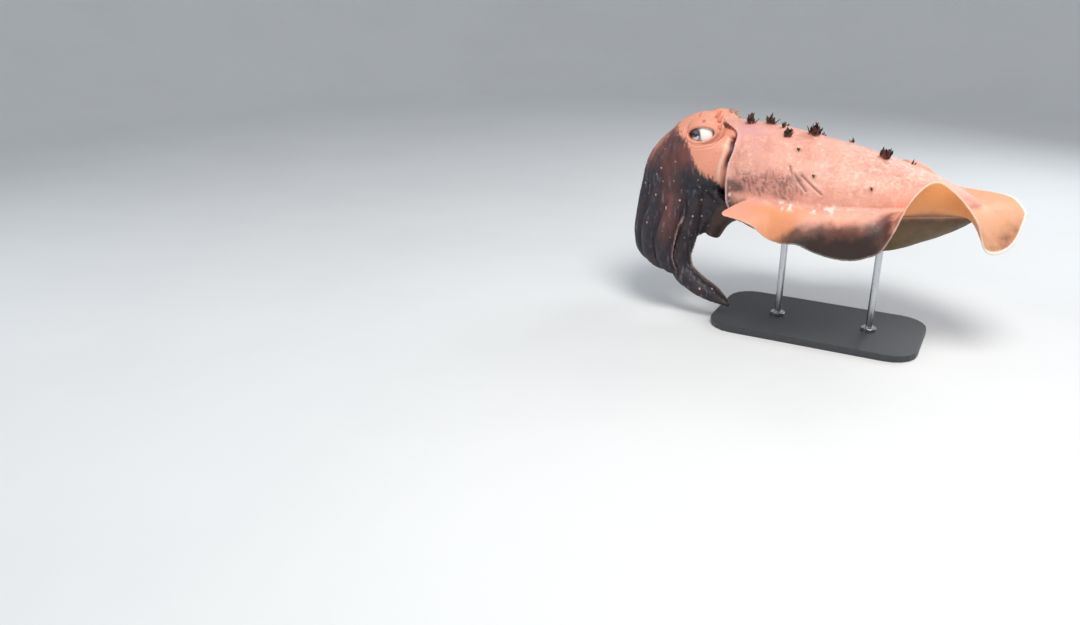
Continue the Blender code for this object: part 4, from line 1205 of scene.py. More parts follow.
@dataclass
class SkinPlaces:
    """Where each point of the skin lies on the animal, for its relief and its masks."""

    net: Net
    normals: Array
    marks: Array
    soft: Array
    weights: Array
    skin: Skin
    wrinkle_height: float = 0.00090
    grit_height: float = 0.00028
    crease_height: float = 0.0014
    tuft_height: float = 0.0016
    wart_height: float = 0.0011
    streak_height: float = 0.00055
    ripple_height: float = 0.00035

    def share(self) -> Array:
        """Returns each point's share of the mantle's length, from its X."""
        return (self.net.points[:, 0] - self.skin.mantle.front_x) / self.skin.mantle.length

    def over_line(self) -> Array:
        """Returns each point's height over the fin line."""
        mantle = self.skin.mantle
        return self.net.points[:, 2] - mantle.line_z - mantle.line_slope * np.clip(self.share(), 0, 1)

    def crease_depth(self) -> Array:
        """Returns the depth of the slanting creases on the flanks, nearly alike on both sides."""
        points = self.net.points
        total = np.zeros(len(points))
        for crease in self.skin.creases:
            corners = np.array(crease)
            best = np.full(len(points), 1e9)
            for start, end in zip(corners[:-1], corners[1:]):
                span = end - start
                at = np.clip(((points[:, [0, 2]] - start) @ span) / (span @ span), 0, 1)
                best = np.minimum(best, np.hypot(*(points[:, [0, 2]] - start - at[:, None] * span).T))
            total += bell(best, 0, 0.0014) - 0.5 * bell(best, 0.0034, 0.0018)
        return total * (np.abs(points[:, 1]) > 0.05)

    def wrinkle_zone(self) -> Array:
        """Returns how much each point lies in the wrinkled patch behind the collar, low on each flank."""
        share = self.share() + 0.02 * bumps(self.net.points, 0.016, 5)
        rise = self.over_line() + 0.006 * bumps(self.net.points, 0.014, 6)
        zone = step_up(0.02, 0.09, share) * step_up(0.40, 0.30, share)
        return zone * step_up(0.004, 0.018, rise) * step_up(0.052, 0.034, rise)

    def wrinkles(self) -> Array:
        """Returns the ridges of the wrinkled patch, from -1 in a groove to 1 on a ridge."""
        points = self.net.points
        bend = 0.003 * bumps(points, 0.012, 20)
        leaned = points + np.stack([bend + 0.35 * (points[:, 2] - 0.05), 0 * bend, bend], axis=-1)
        folds = 1 - 3.0 * np.abs(bumps(leaned, (0.0040, 0.016, 0.0085), 21))
        cells = 1 - 3.0 * np.abs(bumps(leaned, (0.0031, 0.010, 0.0042), 22))
        patchy = 0.65 + 0.5 * bumps(points, 0.010, 23)
        return np.clip(patchy * (0.5 * folds + 0.5 * cells), -1, 1)

    def tuft_zone(self, reach: float) -> Array:
        """Returns how near each point lies to the foot of a tuft, as a bump of this reach for a full one."""
        total = np.zeros(len(self.net.points))
        for plan in TUFTS:
            foot = self.skin.mantle.points(plan.share, math.radians(plan.turn))
            full = plan.length / FULL_TUFT
            away = np.linalg.norm(self.net.points - foot, axis=1)
            total = np.maximum(total, bell(away, 0, reach * (0.45 + 0.55 * full)) * (0.4 + 0.6 * full))
        return total

    def raise_relief(self) -> Array:
        """Returns the points with folds, wrinkles, creases and warts raised in them."""
        points, rise = self.net.points, self.over_line()
        mantle, head, _, arm, fin = self.weights[:, :5].T
        height = np.zeros(len(points))
        for region, tall, size, seed, layers in RELIEF:
            height += self.weights[:, region] * tall * bumps(points, size, seed, layers)
        height += mantle * self.wrinkle_zone() * self.wrinkle_height * self.wrinkles()
        grit = np.clip(bumps(points, 0.0036, 13), -0.2, 1)
        height += mantle * self.grit_height * grit * step_up(0.0, 0.03, rise)
        height -= mantle * self.crease_height * self.crease_depth()
        height += mantle * self.tuft_height * self.tuft_zone(0.0075)
        warts = np.clip(bumps(points, 0.0065, 31) - 0.45, 0, 1) * step_up(0.02, 0.05, rise)
        height += (mantle + head) * self.wart_height * warts
        streaks = bumps(points, (0.0042, 0.0042, 0.024), 51, 2)
        height += (head * self.darkness() + arm) * self.streak_height * streaks
        ripple = bumps(points, 0.011, 71, 2)
        height += fin * self.ripple_height * ripple * step_up(0.2, 0.9, self.soft[:, 1])
        return points + height[:, None] * self.normals

    def darkness(self) -> Array:
        """Returns how dark the arms' colour is on each point of the head and arms."""
        points = self.net.points
        edge = np.interp(points[:, 0], *zip(*self.skin.dark_edge))
        streak = bumps(points, (0.0030, 0.0030, 0.021), 81, 3)
        blot = bumps(points, 0.012, 82, 3)
        return step_up(-0.0035, 0.0060, edge - points[:, 2] + 0.013 * streak + 0.005 * blot)

    def margin_x(self) -> Array:
        """Returns the X of the mantle's front margin at each point's height."""
        mantle = self.skin.mantle
        rise = np.clip((self.net.points[:, 2] - mantle.line_z) / mantle.stations[0][2], -1, 1)
        return mantle.front_x + through(mantle.margin, rise)[:, 0]

    def masks(self) -> dict[str, Array]:
        """Returns the masks that colour the skin, which are cut to between 0 and 1 when they are stored."""
        points = self.net.points
        height = points[:, 2]
        mantle, head, funnel, arm, fin, _ = self.weights.T
        share, rise = self.share(), self.over_line()
        along, reach, face = self.soft.T
        reach = np.clip(reach, 0, 1)
        behind = fin * step_up(0.95, 0.98, along)
        face = face * (1 - behind) + np.sign(self.normals[:, 2]) * behind
        upper = step_up(-0.4, 0.4, face)
        rough = bumps(points, 0.010, 91, 3)
        fine = bumps(points, 0.0035, 92, 3)
        place = along + 0.03 * rough
        black = self.darkness()
        dark = np.clip(arm + head * black, 0, 1)
        front = step_up(0.02, 0.19, along) * step_up(0.36, 0.22, place)
        wet = step_up(0.0, 0.5, reach)
        glow = 0.66 * upper * front * step_up(0.0, 0.3, reach)
        limit = np.interp(along, *zip(*self.skin.shade_edge))
        last = np.where(points[:, 1] < 0, *self.skin.shade_end)
        hanging = step_up(-0.14, 0.20, reach - limit + 0.10 * rough) * step_up(last, last - 0.070, place)
        sunk = step_up(0.05, 0.42, reach - limit + 0.12 * rough)
        sunk *= step_up(last - 0.025, last - 0.115, place)
        rear = step_up(0.90, 1.0, place) * step_up(0.45, 0.75, reach) * step_up(0.99, 0.9, reach)
        crest = step_up(0.62, 0.74, place) * step_up(0.95, 0.88, place)
        tail_edge = step_up(0.90, 0.95, place)
        rim = 1 - self.skin.margin_width * (1 + 1.2 * tail_edge)
        bright = 0.22 + 0.30 * crest + 0.80 * tail_edge
        neck = step_up(-0.02, 0.03, share) * step_up(0.34, 0.05, share) * step_up(0.01, 0.04, rise)
        frost = step_up(0.28, 0.66, share + 0.06 * rough) * step_up(0.01, 0.045, rise)
        grit = step_up(-0.1, 0.7, bumps(points, 0.0032, 96) + 0.6 * rough)
        # Painted shade in the grooves of the wrinkled patch.
        grooves = step_up(0.5, -0.5, self.wrinkles() + 0.3 * fine)
        beside = points[:, 0] - self.margin_x()
        flank = step_up(0.020, 0.040, height) * step_up(0.104, 0.090, height)
        # Painted shadow on the head in the gap behind the collar's margin.
        collar_shadow = step_up(-0.0125, -0.0075, beside + 0.001 * rough) * step_up(0.046, 0.066, height)
        lip = step_up(0.010, 0.005, along) * step_up(-0.6, 0.2, face) * step_up(-0.02, 0.0, height)
        below_nape = 0.25 + 0.75 * step_up(0.106, 0.084, height)
        # Stains round the tufts, and dark mottling with painted shadow at the collar's foot.
        stain_and_shadow = mantle * (self.tuft_zone(0.0050) * 1.3 + self.collar_foot(rough))
        # Painted highlight: streaks of silver sheen on the dark arms and head.
        silver = bumps(points, (0.0036, 0.0036, 0.017), 98, 3)
        return {
            "dark": dark,
            "warm": head + 0.25 * mantle * step_up(0.05, 0.015, rise),
            "mauve": mantle * neck * (0.75 + 0.5 * rough),
            "frost": mantle * frost * grit,
            # Painted shade: the mantle's underside darkened to an olive-brown.
            "shaded_belly": mantle * step_up(0.006, -0.012, rise + 0.004 * rough),
            # Painted glow: orange where light shines through the fin, over its underside and its front.
            "fin_glow": fin * np.clip((1 - upper) * (0.35 + 0.65 * wet) + glow, 0, 1),
            # Painted shade on the fin's underside near its root.
            "deep": fin * (1 - upper) * step_up(0.38, 0.02, reach + 0.08 * rough),
            "shade": fin * upper * np.clip(hanging + 0.26 * front * wet, 0, 1),
            "peach": fin * np.clip(step_up(0.80, 0.95, place) + 0.7 * crest, 0, 1),
            # Darker towards the bottom of the rear lobe.
            "rear_lower_dark": fin * np.clip(rear * step_up(0.01, -0.02, height) * (0.6 + 0.6 * rough), 0, 1),
            "fin": fin * step_up(0.0, 0.35, reach),
            "margin": fin * bright * step_up(rim, rim + 0.012, reach + 0.006 * fine),
            # Painted shade: darkest where the hanging fin curls under.
            "deepest_fin_shade": fin * upper * hanging * sunk,
            # The wrinkled patch's own purple, deeper in its grooves as painted shade.
            "wrinkle": mantle * self.wrinkle_zone() * np.clip(0.20 + 0.70 * grooves + 0.35 * fine, 0, 1),
            # Painted shade in the slanting creases.
            "fold": mantle * np.clip(self.crease_depth(), 0, 1),
            "chalk": self.chalk(along, reach, fine) * np.clip(fin + mantle, 0, 1),
            "stain_and_shadow": stain_and_shadow + head * self.brow_spot(),
            "silver": dark * step_up(0.22, 0.62, silver) * (0.6 + 0.5 * rough),
            "pip": dark * step_up(0.25, -0.2, self.soft[:, 1] * arm),
            "oral": self.on_region(Region.ARM, 0.10, 0.55),
            "keel": self.on_region(Region.KEEL, 0.35, 0.85),
            "funnel": funnel / np.maximum(1.001 - dark, 1e-3),
            # Painted shade inside the funnel's bore and on the inner wall of the mantle's pocket.
            "bore": funnel * step_up(0.3, 0.8, face) + mantle * step_up(-0.3, -0.9, face),
            "lip": mantle * lip * below_nape,
            "collar_shadow": head * collar_shadow * flank,
            "seam": head * bell(beside, -0.0150, 0.0022) * flank,
            "blush": self.blush(),
            "rust": self.rust(),
            "flush": head * bell(black, 0.45, 0.42),
        }

    def collar_foot(self, rough: Array) -> Array:
        """Returns the dark mottling and the painted shadow at the foot of the collar, over the front of the
        fin.
        """
        rise = self.over_line() + 0.004 * rough
        share = self.share() + 0.02 * rough
        band = np.maximum(step_up(0.006, 0.016, rise), step_up(0.050, 0.020, share))
        band *= 1.25 * step_up(0.125, 0.055, share)
        return band * step_up(0.034, 0.020, rise) * step_up(-0.034, -0.018, rise)

    def brow_spot(self) -> Array:
        """Returns the small brown spot over each eye."""
        spot = np.array([0.1756, 0.0532, 0.1215])
        return bell(np.linalg.norm(np.abs(self.net.points) - spot, axis=1), 0, 0.0024)

    def on_region(self, region: Region, low: float, high: float) -> Array:
        """Returns where the place round a region's section passes from low to high, and 0 off the region."""
        values = (self.marks[:, 0] == region) * step_up(low, high, self.marks[:, 2])
        return self.net.smooth(values, 3)

    def chalk(self, along: Array, reach: Array, fine: Array) -> Array:
        """Returns the white dashes along the line where the fin grows, with a few on the flank.

        Args:
            along: Each point's place along its part.
            reach: Its place across the fin.
            fine: Fine noise.

        Returns:
            How white each point is.
        """
        share, rise = self.share(), self.over_line()
        line = bell(rise, 0.0015, 0.0055) * step_up(0.35, 0.1, reach)
        dash = bumps(self.net.points, (0.0048, 0.02, 0.0052), 94) + 0.35 * fine
        gather = step_up(0.10, 0.25, share) * step_up(0.62, 0.40, share)
        foot = bell(share, 0.035, 0.030) * bell(rise, 0.006, 0.009) * step_up(0.22, 0.45, dash)
        return 0.8 * step_up(0.32, 0.52, dash) * line * gather + 0.6 * foot

    def blush(self) -> Array:
        """Returns the paler flush on the brow, where the first arms rise on the head."""
        points = self.net.points
        front = step_up(-0.190, -0.225, points[:, 0]) * step_up(0.035, 0.085, points[:, 2])
        streak = bumps(points, (0.0045, 0.0045, 0.022), 97, 3)
        return front * step_up(0.050, 0.020, np.abs(points[:, 1]) + 0.020 * streak)

    def rust(self) -> Array:
        """Returns the red-brown flush down the middle of the arms' crown."""
        points = self.net.points
        middle = bell(points[:, 0], -0.226, 0.013)
        tall = step_up(-0.075, -0.03, points[:, 2]) * step_up(0.075, 0.045, points[:, 2])
        streak = bumps(points, (0.007, 0.007, 0.02), 95, 3)
        crown = step_up(0.035, 0.075, points[:, 2]) * (0.55 + 0.6 * streak)
        corner = np.linalg.norm(np.abs(points) - np.array([0.1945, 0.0605, 0.0770]), axis=1)
        flush = bell(corner, 0, 0.0130) * (0.9 + 0.3 * streak)
        return np.clip(middle * tall * (0.65 + 0.5 * streak) + crown + flush, 0, 1)


def read_normals(mesh: Mesh) -> Array:
    """Returns the normal of each point of the mesh."""
    values = np.zeros(len(mesh.vertices) * 3, np.float32)
    mesh.vertex_normals.foreach_get("vector", values)
    return values.reshape(-1, 3).astype(float)


def write_mask(mesh: Mesh, name: str, values: Array) -> None:
    """Stores one value for each point of the mesh."""
    layer = mesh.attributes.new(name, "FLOAT", "POINT")
    layer.data.foreach_set("value", np.clip(values, 0, 1).astype(np.float32))


def apply_modifiers(made: Piece) -> None:
    """Leaves the object with its evaluated mesh and no modifiers."""
    bpy.context.view_layer.update()
    graph = bpy.context.evaluated_depsgraph_get()
    mesh = bpy.data.meshes.new_from_object(made.evaluated_get(graph))
    old = made.data
    made.modifiers.clear()
    made.data = mesh
    bpy.data.meshes.remove(old)


def add_object(name: str, data: bpy.types.ID) -> Piece:
    """Returns a new object of a mesh, light or camera, put in the scene."""
    made = bpy.data.objects.new(name, data)
    bpy.context.scene.collection.objects.link(made)
    return made


def join(name: str, patches: list[Patch]) -> Mesh:
    """Makes one mesh of many patches.

    Args:
        name: Its name.
        patches: The patches.

    Returns:
        The mesh.
    """
    faces, count = [], 0
    for patch in patches:
        faces.extend(tuple(i + count for i in face) for face in patch.faces)
        count += len(patch.points)
    mesh = bpy.data.meshes.new(name)
    mesh.from_pydata(np.concatenate([patch.points for patch in patches]), [], faces)
    return mesh


def join_patches(name: str, patches: list[Patch]) -> Piece:
    """Makes one smooth object of many small closed patches, with their last two marks as masks.

    Args:
        name: Its name.
        patches: The patches.

    Returns:
        The object.
    """
    mesh = join(name, patches)
    form = bmesh.new()
    form.from_mesh(mesh)
    bmesh.ops.recalc_face_normals(form, faces=form.faces)
    form.to_mesh(mesh)
    form.free()
    marks = np.concatenate([patch.marks for patch in patches])
    write_mask(mesh, "tip", marks[:, 2])
    write_mask(mesh, "vary", marks[:, 3])
    mesh.shade_smooth()
    return add_object(name, mesh)


@dataclass
class Papillae:
    """The frilled dark flaps of the back, and the flat flaps and spike by each eye."""

    skin: Skin
    surface: BVHTree
    seed: int = 7
    thickness: float = 0.0015
    sink: float = 0.0022
    rings: int = 12
    sides: int = 14
    near: Side = Side.LEFT
    far_length: float = 0.55
    # Painted shade: the far eye's flaps take a tone that darkens them halfway to the dark flaps' colour.
    far_shade_tone: float = -0.40
    eye_flaps: Rows = (
        (-0.1640, 0.0330, 0.1230, 0.0150, 0.0062, 0.30),
        (-0.1590, 0.0410, 0.1180, 0.0130, 0.0060, 0.34),
        (-0.1560, 0.0480, 0.1100, 0.0105, 0.0056, 0.38),
        (-0.1893, 0.0345, 0.1250, 0.0085, 0.0018, 0.00),
    )

    def lobe(
        self,
        foot: Array,
        rise: Array,
        wide: Array,
        size: tuple[float, float],
        lean: float,
        tone: float,
        fray: float = 0.13,
    ) -> Patch:
        """Makes one flap that widens over its foot, then frays to a blunt, curled tip.

        Args:
            foot: Where it grows.
            rise: The way it grows.
            wide: The way across it.
            size: Its length and width.
            lean: How far its tip curls over, as a share of its length.
            tone: Its own value for colour and shape, from 0 to 1.
            fray: How frayed its edges are.

        Returns:
            The flap.
        """
        length, width = size
        thin = np.cross(rise, wide)
        turn = turns(self.sides)[None, :]
        share = np.linspace(0, 1, self.rings)[:, None]
        spread = 0.62 + 0.75 * np.sin(np.pi * share**0.8) ** 1.2 - 0.45 * share
        spread *= np.sqrt(np.clip((1.03 - share) / 0.16, 0, 1))
        spread *= 1 + fray * np.sin(share * 17 + tone * 40)
        up = share * (length + self.sink) - self.sink
        curl = lean * length * share**2
        wave = 0.10 * width * np.sin(share * 9 + tone * 20)
        middle = foot + up * rise + curl * thin + wave * wide
        across = 0.5 * width * spread * np.cos(turn)
        cup = 0.18 * across**2 / max(width, 1e-6)
        depth = 0.5 * self.thickness * (1 - 0.5 * share) * np.sin(turn) + cup
        return loft(tube(middle, wide, thin, across, depth), Region.HEAD, 0, share, tone)

    def tuft(self, plan: TuftPlan, draw: np.random.Generator) -> list[Patch]:
        """Makes the lobes of one tuft, set round its foot and leaning outwards.

        Args:
            plan: Where the tuft is, and its size.
            draw: The seeded draws.

        Returns:
            The lobes.
        """
        mantle = self.skin.mantle
        turned = math.radians(plan.turn)
        spot = mantle.points(plan.share, turned)
        ahead = unit(mantle.points(plan.share + 0.01, turned) - spot)
        around = unit(mantle.points(plan.share, turned + 0.03) - spot)
        rise = unit(np.cross(around, ahead))
        if rise @ (spot - np.array([spot[0], 0.0, 0.02])) < 0:
            rise = -rise
        made = []
        for i in range(plan.lobes):
            spin = 2.4 * i + draw.uniform(-0.4, 0.4)
            away = math.cos(spin) * ahead + math.sin(spin) * around
            ring = (i / max(plan.lobes - 1, 1)) ** 0.6
            foot = spot + away * plan.length * 0.38 * ring
            hit = self.surface.ray_cast(Vector(foot + rise * 0.02), Vector(-rise), 0.04)[0]
            foot = np.array(hit) if hit else foot
            stand = unit(rise + (0.55 * ring + 0.1) * away)
            wide = unit(np.cross(stand, away) + draw.uniform(-0.5, 0.5) * away)
            wide = unit(wide - (wide @ stand) * stand)
            length = plan.length * draw.uniform(0.6, 1.0) * (1.08 - 0.3 * ring)
            size = (length, length * draw.uniform(0.45, 0.72))
            lean, tone = draw.uniform(-0.3, 0.5), draw.uniform(0.05, 0.35)
            made.append(self.lobe(foot, stand, wide, size, lean, tone))
        return made

    def build(self) -> Piece:
        """Returns all the flaps as one object."""
        draw = np.random.default_rng(self.seed)
        made = [lobe for plan in TUFTS for lobe in self.tuft(plan, draw)]
        for side in Side:
            for x, y, z, length, width, tone in self.eye_flaps:
                spot = np.array(self.surface.find_nearest(Vector((x, side * y, z)))[0])
                length *= 1.0 if side is self.near else self.far_length
                # The far eye's flaps are darkened as painted shade.
                tone = tone if side is self.near else self.far_shade_tone
                stand = unit(np.array([0.58, side * 0.22, 0.80]))
                wide = np.array([0.90, -side * 0.35, -0.2])
                wide = unit(wide - (wide @ stand) * stand)
                made.append(self.lobe(spot, stand, wide, (length, width), 0.22, 0.75 + tone / 2, 0.03))
        return join_patches("papillae", made)


@dataclass
class Suckers:
    """The stalked cups on the inner face of each arm, in four staggered columns that shrink to the tip."""

    skin: Skin
    surface: BVHTree
    columns: tuple[float, float, float, float] = (-0.66, -0.22, 0.22, 0.66)
    pitch: float = 0.0052
    least_pitch: float = 0.0016
    full_width: float = 0.013
    radius_share: float = 0.155
    first_share: float = 0.05
    last_share: float = 0.975
    least_facing: float = 0.3
    aside: Triple = (0.31, 0.52, 0.79)
    sides: int = 12
    profile: Rows = (
        (0.55, -0.45),
        (0.60, 0.10),
        (0.95, 0.42),
        (1.02, 0.70),
        (0.90, 0.86),
        (0.66, 0.80),
        (0.40, 0.45),
    )

    def cup(self, foot: Array, out: Array, radius: float) -> Patch:
        """Makes one cup with a rolled rim.

        Args:
            foot: Where it stands.
            out: The way out of the skin there.
            radius: Its radius.

        Returns:
            The cup.
        """
        flat = unit(np.cross(out, self.aside))
        turn = turns(self.sides)[:, None]
        ring = np.cos(turn) * flat + np.sin(turn) * np.cross(out, flat)
        rings = np.stack([foot + ring * radius * r + out * radius * h for r, h in self.profile])
        tip = np.linspace(0, 1, len(self.profile))[:, None]
        return loft(rings, Region.ARM, 0, tip, 0.5)

    def build(self) -> Piece:
        """Returns the suckers of all eight arms as one object."""
        made = []
        for arm in self.skin.arms:
            share, rows = arm.base + self.first_share, []
            while share < self.last_share:
                rows.append(share)
                width = arm.frames(np.array([share]))[4][0]
                share += max(self.pitch * width / self.full_width, self.least_pitch) / arm.length
            for centre, along, oral, across, width, thick in zip(*arm.frames(np.array(rows))):
                for j, column in enumerate(self.columns):
                    shift = 0.5 * (j % 2) * self.pitch * width / self.full_width
                    spot = centre + column * width * across + shift * along
                    start = Vector(spot + thick * oral)
                    hit, normal = self.surface.ray_cast(start, Vector(-oral), 2 * thick)[:2]
                    if hit is None or normal @ Vector(oral) < self.least_facing:
                        continue
                    out = unit(0.6 * np.array(normal) + 0.4 * oral)
                    radius = self.radius_share * width * (1 - 0.12 * abs(column))
                    made.append(self.cup(np.array(hit), out, radius))
        LOG.info("suckers: %d", len(made))
        return join_patches("suckers", made)


@dataclass
class Eye:
    """One eyeball with its dark iris, faint silver rays and a painted silver glint, its W-shaped pupil and
    white hinder part.
    """

    head: Head
    side: Side
    gaze_forward: float = 29.0
    gaze_down: float = 3.0
    iris: float = 0.44
    pupil_width: float = 0.33
    pupil_rise: float = 0.02
    pupil_dip: float = 0.055
    pupil_thick: float = 0.100
    front_angle: float = 1.4
    front_rings: int = 84
    rear_rings: int = 36
    sides: int = 300

    def build(self) -> Piece:
        """Returns the eyeball with its masks, level, its rings finest round the pupil."""
        name = "eyeball_left" if self.side is Side.LEFT else "eyeball_right"
        forward, down = math.radians(self.gaze_forward), math.radians(self.gaze_down)
        gaze = unit([-math.sin(forward), self.side * math.cos(forward) * math.cos(down), -math.sin(down)])
        up = unit(np.array([0, 0, 1.0]) - gaze[2] * gaze)
        ahead = unit(np.cross(up, gaze)) * self.side
        ahead = ahead if ahead[0] < 0 else -ahead
        fine = math.asin(self.iris) * 1.1
        front = np.linspace(0.004, fine, self.front_rings)
        rear = np.linspace(fine, math.pi - 0.02, self.rear_rings)[1:]
        angle = np.concatenate([front, rear])[:, None]
        turn = turns(self.sides)[None, :]
        a = np.sin(angle) * np.cos(turn)
        b = np.sin(angle) * np.sin(turn)
        way = tube(np.cos(angle) * gaze, ahead, up, a, b)
        bulge = 1 + 0.03 * bell(angle, 0, 0.45)[..., None]
        rings = way * self.head.eye_ball * bulge + self.head.eye(self.side)
        made = join_patches(name, [loft(rings, Region.HEAD)])
        for mask, values in self.masks(a, b, angle, way).items():
            flat = np.broadcast_to(values, a.shape)
            write_mask(made.data, mask, np.concatenate([flat.ravel(), [flat[0].mean(), flat[-1].mean()]]))
        return made

    def masks(self, a: Array, b: Array, angle: Array, way: Array) -> dict[str, Array]:
        """Returns the masks that colour the eye.

        Args:
            a: Places ahead of the pupil's middle, in radii of the ball.
            b: Places over it.
            angle: Angle of each ring from the gaze.
            way: Ways out from the ball's middle.

        Returns:
            The masks by name.
        """
        front = angle < self.front_angle
        away = np.sin(np.minimum(angle, np.pi / 2))
        wide = self.pupil_width
        off = b - self.pupil_rise - self.pupil_dip * np.cos(2 * np.pi * a / wide)
        thick = self.pupil_thick * np.sqrt(np.clip(1 - (a / wide) ** 2, 0, 1)) ** 0.7 + 0.001
        across = front * (np.abs(a) < wide)
        inside = step_up(self.iris + 0.01, self.iris - 0.01, away) * front
        rear = way[..., 0] * math.cos(0.1) + 0.15 * way[..., 2]
        spin = np.arctan2(b, a)
        return {
            "pupil": step_up(thick + 0.006, thick - 0.006, np.abs(off)) * across,
            "iris": inside,
            "rim": np.clip(bell(away, self.iris, 0.035) + bell(away, 0.0, 0.01), 0, 1) * front,
            "edge": bell(np.abs(off) - thick, 0.016, 0.012) * across,
            "ray": (0.5 + 0.5 * np.cos(spin * 46 + 3 * np.cos(spin * 7))) * inside,
            # Painted highlight: a silver glint low on the iris.
            "glint": inside * step_up(-0.12, -0.20, b + 0.30 * a),
            "shade": step_up(0.16, 0.05, np.abs(rear + 0.08)) + step_up(0.66, 0.76, rear),
        }


@dataclass
class Mouth:
    """The lips and the beak between the roots of the arms."""

    head: Head
    radius: float = 0.0120
    reach: float = 0.0090
    folds: int = 18
    profile: Rows = (
        (1.0, -0.1),
        (1.05, 0.30),
        (0.96, 0.70),
        (0.78, 1.0),
        (0.60, 1.04),
        (0.46, 0.90),
        (0.40, 0.60),
    )
    lip_sides: int = 144
    beak_sides: int = 28
    beak_rings: int = 14
    beak_width: float = 0.0042
    beak_height: float = 0.0030
    beak_tip: float = 0.0002

    def frame(self) -> tuple[Array, Array, Array, Array]:
        """Returns the middle of the mouth, the ways across it and up it, and the way out of it."""
        last = self.head.stations[-1][0]
        turned = math.radians(last)
        rise = np.array([math.cos(turned), 0.0, math.sin(turned)])
        leave = np.array([-math.sin(turned), 0.0, math.cos(turned)])
        return self.head.middle(last)[0], np.array([0.0, 1.0, 0.0]), rise, leave

    def lips(self) -> Piece:
        """Returns the puckered ring of the lips."""
        middle, across, rise, leave = self.frame()
        turn = turns(self.lip_sides)[None, :]
        radius, out = np.array(self.profile).T[:, :, None]
        pucker = np.cos(self.folds * turn)
        radius = self.radius * radius * (1 + 0.05 * pucker * (out > 0))
        spot = middle + leave * self.reach * out
        rings = tube(spot, across, rise, radius * np.cos(turn), radius * np.sin(turn))
        tip = np.linspace(0, 1, len(self.profile))[:, None]
        return join_patches("mouth_lips", [loft(rings, Region.HEAD, 0, tip, 0.5 + 0.5 * pucker)])

    def beak(self) -> Piece:
        """Returns the dark beak that shows inside the lips, an upper and a lower hook."""
        middle, across, rise, leave = self.frame()
        turn = turns(self.beak_sides)[None, :]
        share = np.linspace(0, 1, self.beak_rings)[:, None]
        made = []
        for hand, size in ((1, 1.0), (-1, 0.88)):
            wide = self.beak_width * size * (1 - share) ** 0.7 + self.beak_tip
            high = self.beak_height * size * (1 - share) ** 0.8 + self.beak_tip
            spot = middle + rise * hand * (0.0026 - 0.0030 * share**2)
            spot += leave * self.reach * (0.25 + 0.72 * share)
            rings = tube(spot, across, rise, wide * np.cos(turn), high * np.sin(turn))
            made.append(loft(rings, Region.HEAD, 0, share, 0.5))
        return join_patches("mouth_beak", made)


def srgb(red: int, green: int, blue: int) -> Colour:
    """Returns a screen colour, each part from 0 to 255, as linear light."""
    parts = [value / 255 for value in (red, green, blue)]
    return tuple(p / 12.92 if p <= 0.04045 else ((p + 0.055) / 1.055) ** 2.4 for p in parts)


class Sketch:
    """A tree of shader nodes, with short calls for what this script draws with."""

    def __init__(self, tree: NodeTree) -> None:
        """Takes the tree that the calls add to."""
        self.nodes = tree.nodes
        self.links = tree.links

    def put(self, value: object, socket: Socket) -> None:
        """Links or sets an input.

        Args:
            value: A node's output, or a plain number or colour.
            socket: The input.
        """
        if isinstance(value, Socket):
            self.links.new(value, socket)
        elif socket.type == "RGBA":
            socket.default_value = (*value, 1.0)
        else:
            socket.default_value = value

    def node(self, kind: str, inputs: dict[str | int, object], **settings: object) -> bpy.types.Node:
        """Adds a node.

        Args:
            kind: Its type, without the words that every type starts with.
            inputs: What goes on its inputs, by their names or numbers.
            settings: Its own settings.

        Returns:
            The node.
        """
        node = self.nodes.new(f"ShaderNode{kind}")
        for name, value in settings.items():
            setattr(node, name, value)
        for name, value in inputs.items():
            self.put(value, node.inputs[name])
        return node

    def place(self) -> Socket:
        """Returns the place in the object's own space."""
        return self.node("TexCoord", {}).outputs["Object"]

    def mix(self, first: object, second: object, factor: object) -> Socket:
        """Returns two colours mixed by a factor."""
        inputs = {"A": first, "B": second, "Factor": factor}
        return self.node("Mix", inputs, data_type="RGBA").outputs["Result"]

    def maths(self, operation: str, first: object, second: object) -> Socket:
        """Returns a sum, product or other working of two values."""
        return self.node("Math", {0: first, 1: second}, operation=operation).outputs[0]

    def span(
        self, value: object, low: object, high: object, to_low: float = 0.0, to_high: float = 1.0
    ) -> Socket:
        """Returns a value carried smoothly from one span to another."""
        inputs = dict(enumerate((value, low, high, to_low, to_high)))
        return self.node("MapRange", inputs, interpolation_type="SMOOTHSTEP").outputs["Result"]

    def noise(self, scale: object, detail: float = 3.0, roughness: float = 0.5) -> Socket:
        """Returns plain noise in the object's space."""
        inputs = {"Vector": self.place(), "Scale": scale, "Detail": detail, "Roughness": roughness}
        return self.node("TexNoise", inputs).outputs["Fac"]


class Group(Sketch):
    """A new shader group with named inputs and one output."""

    def __init__(self, name: str, inputs: dict[str, str], output: str, kind: str) -> None:
        """Makes the group and its sockets.

        Args:
            name: The group's name.
            inputs: Its inputs, each with its kind.
            output: Its output.
            kind: The output's kind.
        """
        self.tree = bpy.data.node_groups.new(name, "ShaderNodeTree")
        super().__init__(self.tree)
        for label, sort in inputs.items():
            self.tree.interface.new_socket(label, in_out="INPUT", socket_type=f"NodeSocket{sort}")
        self.tree.interface.new_socket(output, in_out="OUTPUT", socket_type=f"NodeSocket{kind}")
        self.given = self.nodes.new("NodeGroupInput").outputs
        self.out = self.nodes.new("NodeGroupOutput").inputs[output]


